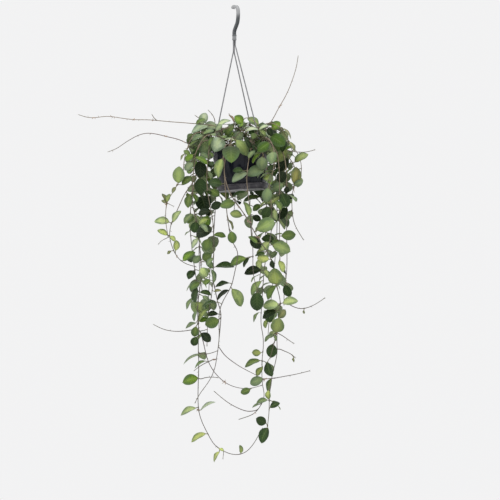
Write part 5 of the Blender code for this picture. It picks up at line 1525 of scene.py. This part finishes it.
def fillLeaf(root, tangent, turn, thick, veiled, plant, crowd, rng, shown):
    # A leaf that grows here, turned this way round its stem, or None where no try finds room
    crown = inCrown(root)
    side = tangent.orthogonal().normalized()
    for attempt in range(growth["thickTries"] if thick else growth["thinTries"]):
        spin = Matrix.Rotation(turn + rng.uniform(*holding["jitter"]), 3, tangent)
        out = (spin @ side).normalized()
        if veiled and out.y < -0.1:
            out.y = -out.y
        drop = rng.uniform(*holding["crownDrop" if crown else "drop"])
        way = (out * 0.9 + Vector((0, 0, -drop)) + tangent * 0.25).normalized()
        base = root + (out + tangent * 0.3).normalized() * rng.uniform(*holding["stalks"]) * mm
        size = rng.uniform(*growth["fillSizes"]) * mm * (1 - holding["smaller"] * attempt)
        face = (Vector((0, 0, 1)) + out * 0.6).normalized()
        face = Matrix.Rotation(rng.uniform(*holding["jitter"]), 3, way) @ face
        leaf = Leaf(root, base, way, face, size, size * growth["leafRatio"])
        if veiled and not coveredSpot(spot(base + way * size / 2)):
            continue
        if suitsView(leaf, shown) and not crowd.blocks(leaf, plant):
            crowd.add(*leaf.tree(), plant)
            return leaf
    return None


def fillLeaves(lines, crowd, rng, shown):
    # Adds leaves at even steps along the stems, turned a quarter each time, where there is room
    grown = []
    for line in lines:
        if not line["leafy"]:
            continue
        points = line["points"]
        along = 0.0
        turn = rng.uniform(0, math.pi)
        spacing = rng.uniform(*growth["crownSteps"]) * mm
        for index in range(line["fixed"] + 1, len(points) - 1):
            along += np.linalg.norm(points[index] - points[index - 1])
            if along < spacing:
                continue
            along = 0.0
            root = Vector(points[index])
            thick = inCrown(root) or spot(root).y < outline["bushLow"]
            veiled = line["hidden"] and not thick
            steps = "crownSteps" if thick else "veiledSteps" if veiled else "openSteps"
            spacing = rng.uniform(*growth[steps]) * mm
            turn += math.pi / 2 + rng.uniform(*holding["quarter"])
            tangent = (Vector(points[index + 1]) - root).normalized()
            for half in (0,) if veiled else (0, math.pi):
                place = (root, tangent, turn + half, thick, veiled, line["plant"])
                leaf = fillLeaf(*place, crowd, rng, shown)
                if leaf:
                    grown.append((leaf, line))
    return grown


# The colour of each kind of leaf from where it is seen, light and shade included: the grey of kinds g and w
# is partly the leaves' own grey-green and partly painted sheen of the bright surroundings, and the dark of
# kinds v and d is partly painted shade among the leaves; kind f goes from one colour to another
leafKinds = {
    "v": (21, 36, 14),
    "d": (40, 60, 27),
    "g": (102, 118, 86),
    "m": (84, 103, 52),
    "b": (96, 124, 42),
    "h": (62, 88, 30),
    "l": (124, 140, 90),
    "p": (152, 164, 116),
    "o": (126, 139, 84),
    "y": (160, 170, 106),
    "r": (116, 114, 66),
    "n": (116, 118, 86),
    "w": (152, 164, 140),
    "s": (126, 140, 112),
    "e": (140, 112, 96),
}
twoTones = {"f": ((30, 46, 16), (104, 130, 60))}

# How often each kind is drawn for a leaf that isn't a shown one; in the crown half are the dark kinds v and
# d, whose colour is partly painted shade
drawnKinds = {"first": "ggmmmmdddblo", "crown": "vvddddmmmgsb", "curtain": "dggssmmmlow"}

# The fine blade, a sphere's mesh drawn out, and how far one leaf differs from the next
blade = {
    "rows": 18,
    "stalkRows": 4,
    "sides": 16,
    "sag": 0.06,
    "sunk": 0.6,
    "tipStart": 0.965,
    "groove": 0.28 * mm,
    "rib": 0.5 * mm,
    "varies": {
        "wave": (0, math.tau),
        "ripple": (0.2, 1.0),
        "curl": (-0.02, 0.05),
        "blunt": (0.56, 0.74),
        "fuller": (0.9, 1.12),
        "light": (0.86, 1.14),
        "red": (0.97, 1.03),
        "green": (0.97, 1.03),
        "blue": (0.97, 1.03),
        "lengthwise": (-0.22, 0.28),
        "sideways": (-0.12, 0.12),
        "seed": (0, 1),
    },
}


def stalkPoint(leaf, share, x, lift):
    # A point of the round stalk, which starts inside the stem and sags a little
    way = leaf.base - leaf.root
    sag = way.cross(leaf.side).normalized() * way.length * blade["sag"]
    middle = leaf.root + way * share + sag * math.sin(share * math.pi)
    middle -= way.normalized() * blade["sunk"] * mm * (1 - share)
    thick = (1.15 - 0.2 * share) * mm
    return middle + leaf.side * x * thick + leaf.face * lift * thick


def bladePoint(leaf, own, along, x, lift):
    # A point of the blade: an oval with a pointed tip, folded, arched, rippled and grooved
    oval = 0.0
    if along < blade["tipStart"]:
        spread = 2 * (along / blade["tipStart"]) ** own["fuller"] - 1
        oval = max(0.0, 1 - spread**2) ** own["blunt"]
    cusp = 0.0
    if along > 0.9:
        cusp = leaf.width * 0.7 * (1 - along)
    elif along < 0.2:
        cusp = 1.05 * mm
    half = max(leaf.width / 2 * oval, cusp)
    droop = growth["droop"]
    arch = leaf.length * (droop * math.sin(along * math.pi) - droop * along - own["curl"] * along**3)
    fold = half * growth["fold"] * abs(x) ** 1.4
    swing = math.sin(along * 9 + own["wave"] + (2.0 if x > 0 else 0))
    edge = own["ripple"] * mm * swing * abs(x) ** 3 * math.sin(along * math.pi)
    thick = (0.62 - 0.22 * along) * mm * math.copysign(abs(lift) ** 0.75, lift) if lift else 0.0
    crease = math.exp(-((x / 0.16) ** 2)) * (1 - along) ** 0.6
    rib = 0.0
    if lift:
        rib = -(blade["groove"] if lift > 0 else blade["rib"]) * crease
    return leaf.at(along) + leaf.side * half * x + leaf.face * (arch + fold + edge + thick + rib)


def buildBlade(bm, layers, leaf, kind, rng):
    # One closed leaf: a stalk that grows out of the stem, and a blade with a groove along its midrib
    rows, stalkRows = blade["rows"], blade["stalkRows"]
    made = bmesh.ops.create_uvsphere(bm, u_segments=blade["sides"], v_segments=rows, radius=1)
    own = {name: rng.uniform(*limits) for name, limits in blade["varies"].items()}
    hue = [own["light"] * own[channel] for channel in ("red", "green", "blue")]
    ends = twoTones.get(kind) or (leafKinds[kind], leafKinds[kind])
    first, last = [[level * share for level, share in zip(tint(*end), hue)] for end in ends]
    for vert in made["verts"]:
        row = math.acos(max(-1, min(1, vert.co.z))) / math.pi * rows
        angle = math.atan2(vert.co.y, vert.co.x)
        pole = min(row, rows - row) < 0.5
        x = 0.0 if pole else math.cos(angle)
        lift = 0.0 if pole else math.sin(angle)
        step = round(row)
        if step <= stalkRows:
            along = 0.0
            vert.co = stalkPoint(leaf, step / (stalkRows + 0.6), x, lift)
            vert[layers["stalk"]] = 1.0 if step < stalkRows else 0.7
        else:
            station = (step - stalkRows - 0.35) / (rows - stalkRows - 0.35)
            along = station * 0.4 + (1 - math.cos(station * math.pi)) * 0.3
            vert.co = bladePoint(leaf, own, along, x, lift)
            vert[layers["stalk"]] = max(0.0, 0.7 - along * 9)
        vert[layers["under"]] = 1.0 if lift < -0.01 else 0.5 if abs(lift) < 0.01 else 0.0
        tone = 1 + own["lengthwise"] * (2 * along - 1) + own["sideways"] * x
        colour = [(low + (high - low) * along**2) * tone for low, high in zip(first, last)]
        vert[layers["colour"]] = (*colour, own["seed"])
        vert[layers["flat"]] = Vector((x * 0.5 + 0.5, along, 0))
    for vert in made["verts"]:
        for face in vert.link_faces:
            face.material_index = 1


# Thin shoots and twigs that only the fine model has, as routes like those above
wisps = [
    [(233, 140, -6.4), (240, 132, -6.8), (250, 127, -6.4), (262, 129, -6), (270, 133, -6)],
    [(247, 150, -8.6), (252, 140, -8), (258, 131, -7), (266, 127, -6), (274, 128, -5)],
    [(258, 152, -8.6), (254, 143, -7.6), (247, 135, -6.4), (240, 129, -5)],
    [(266, 150, -8), (262, 140, -7), (255, 132, -5.6), (246, 127, -4)],
    [(270, 146, -7.4), (264, 136, -6), (256, 128, -4), (248, 124, -3)],
    [(214, 135, -6), (222, 130, -6.2), (232, 127, -5.6), (240, 128, -5)],
    [(206, 150, -7), (210, 138, -7), (218, 131, -6), (228, 127, -5)],
    [(215, 133, 3), (225, 128, 4), (236, 130, 5), (246, 134, 6)],
    [(232, 131, 2), (240, 127, 3), (250, 126, 4), (260, 129, 5)],
    [(262, 130, 1), (270, 128, 2), (280, 131, 3), (288, 138, 3)],
    [(208, 128, 1), (202, 128, 2), (196, 132, 2.4), (192, 140, 2.4)],
    [(205, 134, 4), (212, 127, 5), (222, 124.5, 6), (232, 124.5, 6), (242, 125, 5), (252, 125, 4)],
    [(250, 134, 8), (258, 128, 7), (266, 127, 6), (276, 129, 5), (284, 134, 4)],
    [(200, 140, 6), (206, 131, 7), (214, 128, 8), (224, 128, 8), (234, 128, 8)],
    [(236, 140, 8), (243, 131, 8.6), (252, 128, 8.6), (262, 130, 8)],
    [(196, 146, -2), (199, 138, -2), (205, 133, -2), (212, 130, -2)],
    [(292, 150, 0), (288, 141, 0), (282, 134, 0), (274, 130, 0)],
    [(246, 134, -8), (251, 141, -9), (256, 148, -9.6)],
    [(166, 237, -2.4), (162, 240.5, -2.6), (159, 243.5, -2.8)],
    [(167, 203, -4.3), (170, 204.5, -4.6), (173, 206, -4.8)],
    [(223, 452, -3), (223.4, 455, -3.2), (223, 458, -3.4)],
]

# Where buds sit close together on a stem: across, down and how many
knots = [
    (248, 220, 8), (258, 238, 8), (284, 280, 8), (275, 336, 8), (265, 376, 9), (166, 203, 9), (198, 329, 6),
    (201, 262, 6), (176, 257, 4), (292, 188, 8), (282, 104, 4), (134, 120, 3), (113, 117, 2), (94, 119, 2),
    (165, 136.5, 4), (185, 140, 3), (153, 120, 2), (240, 206, 5), (214, 360, 5), (226, 380, 5),
    (256, 414, 4), (198, 409, 4),
]

# Young leaves that only the fine model has, marked like the shown ones
youngMarks = [
    (234, 122, 229, 114, 2.8, "e"), (259, 130, 268, 124.5, 4, "w"), (246, 131, 258, 128, 4.5, "w"),
    (247, 135, 258, 132, 3.5, "s"), (196, 124, 205, 118.5, 5, "m"), (203, 134, 214, 130, 5, "g"),
    (192, 139, 203, 134, 4, "g"), (190, 146, 200, 138, 4, "m"), (209, 146, 213, 136, 4, "m"),
    (264, 131, 259, 139, 4, "w"), (266, 132, 271, 139, 4, "w"), (245, 124, 239, 126.5, 3, "b"),
    (282, 150, 292, 146, 4, "b"), (206, 128, 214, 122, 6, "w"), (216, 131, 222, 124, 5, "s"),
    (252, 150, 247, 139, 5, "v"), (268, 128, 272, 136, 6, "v"), (282, 152, 286, 141, 6, "d"),
    (271, 136, 285, 145, 13, "h"), (190, 156, 184, 150, 5, "m"), (213, 159, 206, 153, 5, "g"),
    (246, 160, 252, 152, 5, "g"), (281, 210, 276, 200, 6, "m"), (262, 268, 268, 276, 6, "p"),
    (207, 232, 201, 224, 5, "s"), (206, 262, 214, 268, 6, "g"), (203, 296, 209, 302, 5, "s"),
]


def stemRadii(fine, thick, thin, joints):
    # Tapers from thick to thin, and swells at the joints where leaves and shoots grow
    along = lengths(fine)
    radii = thick + (thin - thick) * along / along[-1]
    for joint in joints:
        away = np.linalg.norm(fine - np.array(joint), axis=1)
        radii = radii * (1 + fineStem["jointSwell"] * np.exp(-((away / fineStem["jointReach"]) ** 2)))
    return radii, along


def addStub(bm, layers, point, way, length, rng, bud=0.0):
    # The dry stump of a fallen stalk, a short root that feels for something to hold, or a pale bud
    radius = rng.uniform(*fineStem["stubGirths"]) * (1 + 0.6 * bud) * mm
    made = rod(bm, radius, point - way * radius, point + way * length, 6, radius * 0.45)
    for vert in made["verts"]:
        vert[layers["young"]] = 0.15
        vert[layers["bud"]] = bud


def addStubs(bm, layers, fine, along, rng):
    # Stumps at uneven steps along a stem, except close to the pot
    place = rng.uniform(*fineStem["stubSteps"]) * mm
    while place < along[-1] - fineStem["stubEnd"]:
        index = int(np.searchsorted(along, place))
        tangent = (Vector(fine[index]) - Vector(fine[index - 1])).normalized()
        spin = Matrix.Rotation(rng.uniform(0, math.tau), 3, tangent)
        way = (spin @ tangent.orthogonal().normalized() + tangent * 0.4).normalized()
        point = Vector(fine[index])
        inner = potFrameBack @ point
        if inner.xy.length > pot["rimRadius"] + fineStem["stubFromPot"] or inner.z > fineStem["stubFromLip"]:
            addStub(bm, layers, point, way, rng.uniform(*fineStem["stubLengths"]) * mm, rng)
        place += rng.uniform(*fineStem["stubSteps"]) * mm


def addKnot(bm, layers, fine, point, count, rng):
    # A cluster of buds on a stem, most of them turned to the eye
    for turn in range(count):
        way = Vector((rng.uniform(-1, 1), rng.uniform(-1, 0.4), rng.uniform(-1, 0.6))).normalized()
        aside = Vector((rng.uniform(-1, 1), 0, rng.uniform(-1, 1))) * fineStem["knotSpread"]
        foot = onLine(point + aside, [Vector(place) for place in fine])
        addStub(bm, layers, foot, way, rng.uniform(3, 3 + count) * mm, rng, 1.0)


def addStem(bm, layers, line, joints, rng):
    # One smooth stem with its swollen joints, its stumps and knots, and two tiny leaves at its tip
    fine = line["fine"]
    thick, thin = fineStem[line["girth"]]
    radii, along = stemRadii(fine, thick, thin, joints)
    verts = addTube(bm, fine, radii, fineStem["sides"])
    shade = min(1, max(0, (0.15 if line["main"] else 0.7) + rng.uniform(-0.2, 0.25)))
    for vert in verts:
        vert[layers["shoot"]] = shade
        nearest = np.linalg.norm(fine - np.array(vert.co), axis=1).argmin()
        left = along[-1] - along[nearest]
        vert[layers["young"]] = max(0.0, 1 - left / fineStem["youngReach"])
    addStubs(bm, layers, fine, along, rng)
    for point, count in line["knots"]:
        addKnot(bm, layers, fine, point, count, rng)
    tip = Vector(fine[-1])
    way = (tip - Vector(fine[-2])).normalized()
    for turn in (0, math.pi):
        side = Matrix.Rotation(turn + 0.6, 3, way) @ way.orthogonal().normalized()
        end = tip + (way + side * 0.35).normalized() * fineStem["tip"] * mm
        made = rod(bm, thin * 1.1, tip - way * mm, end, 6, 0.15 * mm)
        for vert in made["verts"]:
            vert[layers["young"]] = 1.0


def buildVine(piece, own, leaves):
    # Stems first, then every leaf that grows on them, in one piece
    bm = bmesh.new()
    kinds = bm.verts.layers
    layers = {name: kinds.float.new(name) for name in ("young", "shoot", "bud", "stalk", "under")}
    layers["colour"] = kinds.float_color.new("leafColour")
    layers["flat"] = kinds.float_vector.new("flat")
    rng = random.Random(piece.split(".")[0])
    for line in own:
        addStem(bm, layers, line, [leaf.root for leaf, ownLine, kind in leaves if ownLine is line], rng)
    for leaf, line, kind in leaves:
        buildBlade(bm, layers, leaf, kind, rng)
    uv = bm.loops.layers.uv.new("blade")
    for face in bm.faces:
        for loop in face.loops:
            loop[uv].uv = loop.vert[layers["flat"]].xy
    kinds.float_vector.remove(layers["flat"])
    return addBmesh(piece, bm, stemBark, leafBlade)


def settle(line, crowd):
    # Works out what the leaves need to know of a stem, and adds the stem to the crowd
    line["fine"] = smooth(line["points"], fineStem["step"])
    line["thin"] = [Vector(point) for point in keepRoot(line["points"], line["fixed"])]
    line["points"] = np.array([onLine(Vector(point), line["thin"]) for point in line["points"]])
    line["spots"] = [spot(Vector(point)) for point in line["points"]]
    line["knots"] = []
    swollen = bpy.data.objects.new("swollen", bpy.data.meshes.new("swollen"))
    bm = bmesh.new()
    addTube(bm, line["thin"], [growth["stemRadius"] + growth["clearance"]] * len(line["thin"]), 4)
    bm.to_mesh(swollen.data)
    bm.free()
    crowd.add(*meshTree(swollen), line["plant"])
    bpy.data.objects.remove(swollen, do_unlink=True)


def growWisp(route, lines, crowd):
    # A thin shoot that leaves the nearest stem
    points = [seen(*place) for place in route]
    nearest = min(lines, key=lambda line: np.linalg.norm(line["fine"] - np.array(points[0]), axis=1).min())
    points[0] = onLine(points[0], [Vector(place) for place in nearest["fine"]])
    line = dict(nearest, fixed=0, main=False, hidden=False, leafy=len(route) > 3, girth="wisp")
    line["points"] = smooth(points, growth["stemStep"])
    settle(line, crowd)
    return line


def tieKnot(across, down, count, lines):
    # Notes a cluster of buds on the stem that is seen nearest to it
    knot = Vector((across, down))
    near = [
        ((place - knot).length, number, index)
        for number, line in enumerate(lines) for index, place in enumerate(line["spots"])
    ]
    away, number, index = min(near)
    lines[number]["knots"].append((Vector(lines[number]["points"][index]), count))


buildStudio()
print("studio ready")

hookFinish = hangerFinish("hook_moulded", palette["hookDark"], palette["hookLight"], palette["hookPale"])
legFinish = hangerFinish("leg_moulded", palette["legDark"], palette["legLight"])
potGloss = potFinish()
saucerSatin = saucerFinish()
pottingSoil = soilFinish()
soilBits = gritFinish()
stemBark = stemFinish()
leafBlade = leafFinish()
print("finishes ready")

buildHook()
for name in legs["azimuths"]:
    buildLeg(name)
buildPot()
buildSaucer()
buildSoil()
print("hook, legs, pot, saucer and soil built")

lines = growLines()
crowd = Crowd()
for name in (*legs["azimuths"], "hook", "pot", "saucer", "soil"):
    crowd.add(*meshTree(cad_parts[name]), -1)
for line in lines:
    line["hidden"] = "back" not in line["name"]
    line["leafy"] = line["main"] and "runner" not in line["name"]
    line["girth"] = "trunk" if line["leafy"] else "runner"
    settle(line, crowd)

leaves = placeShown(shownLeaves, lines, crowd)
print(len(leaves), "shown leaves placed")
shown = [leaf for leaf, line, kind in leaves]
kindDraw = random.Random(seeds["kinds"])
for leaf, line in fillLeaves(lines, crowd, random.Random(seeds["first"]), shown):
    leaves.append((leaf, line, kindDraw.choice(drawnKinds["first"])))

growth.update(secondPass)
for knot in knots:
    tieKnot(*knot, lines)
shoots = [growWisp(route, lines, crowd) for route in wisps]
young = placeShown(youngMarks, lines + shoots, crowd)
for leaf, line in fillLeaves(lines + shoots, crowd, random.Random(seeds["second"]), shown):
    part = "crown" if spot(leaf.root).y < outline["bushLow"] else "curtain"
    young.append((leaf, line, kindDraw.choice(drawnKinds[part])))
print(len(leaves), "leaves and", len(young), "small ones placed on", len(lines), "stems")

for leaf, line, kind in leaves + young:
    leaf.root = onLine(leaf.root, [Vector(point) for point in line["fine"]])
for plant, name in enumerate(stems):
    own = [line for line in lines if line["plant"] == plant]
    grown = buildVine(name + ".grown", own, [entry for entry in leaves if entry[1]["plant"] == plant])
    dress(grown, name)
    own = [line for line in shoots if line["plant"] == plant]
    small = [entry for entry in young if entry[1]["plant"] == plant]
    if own or small:
        addLoose(buildVine(name + ".young", own, small))
print("leafy stems built")
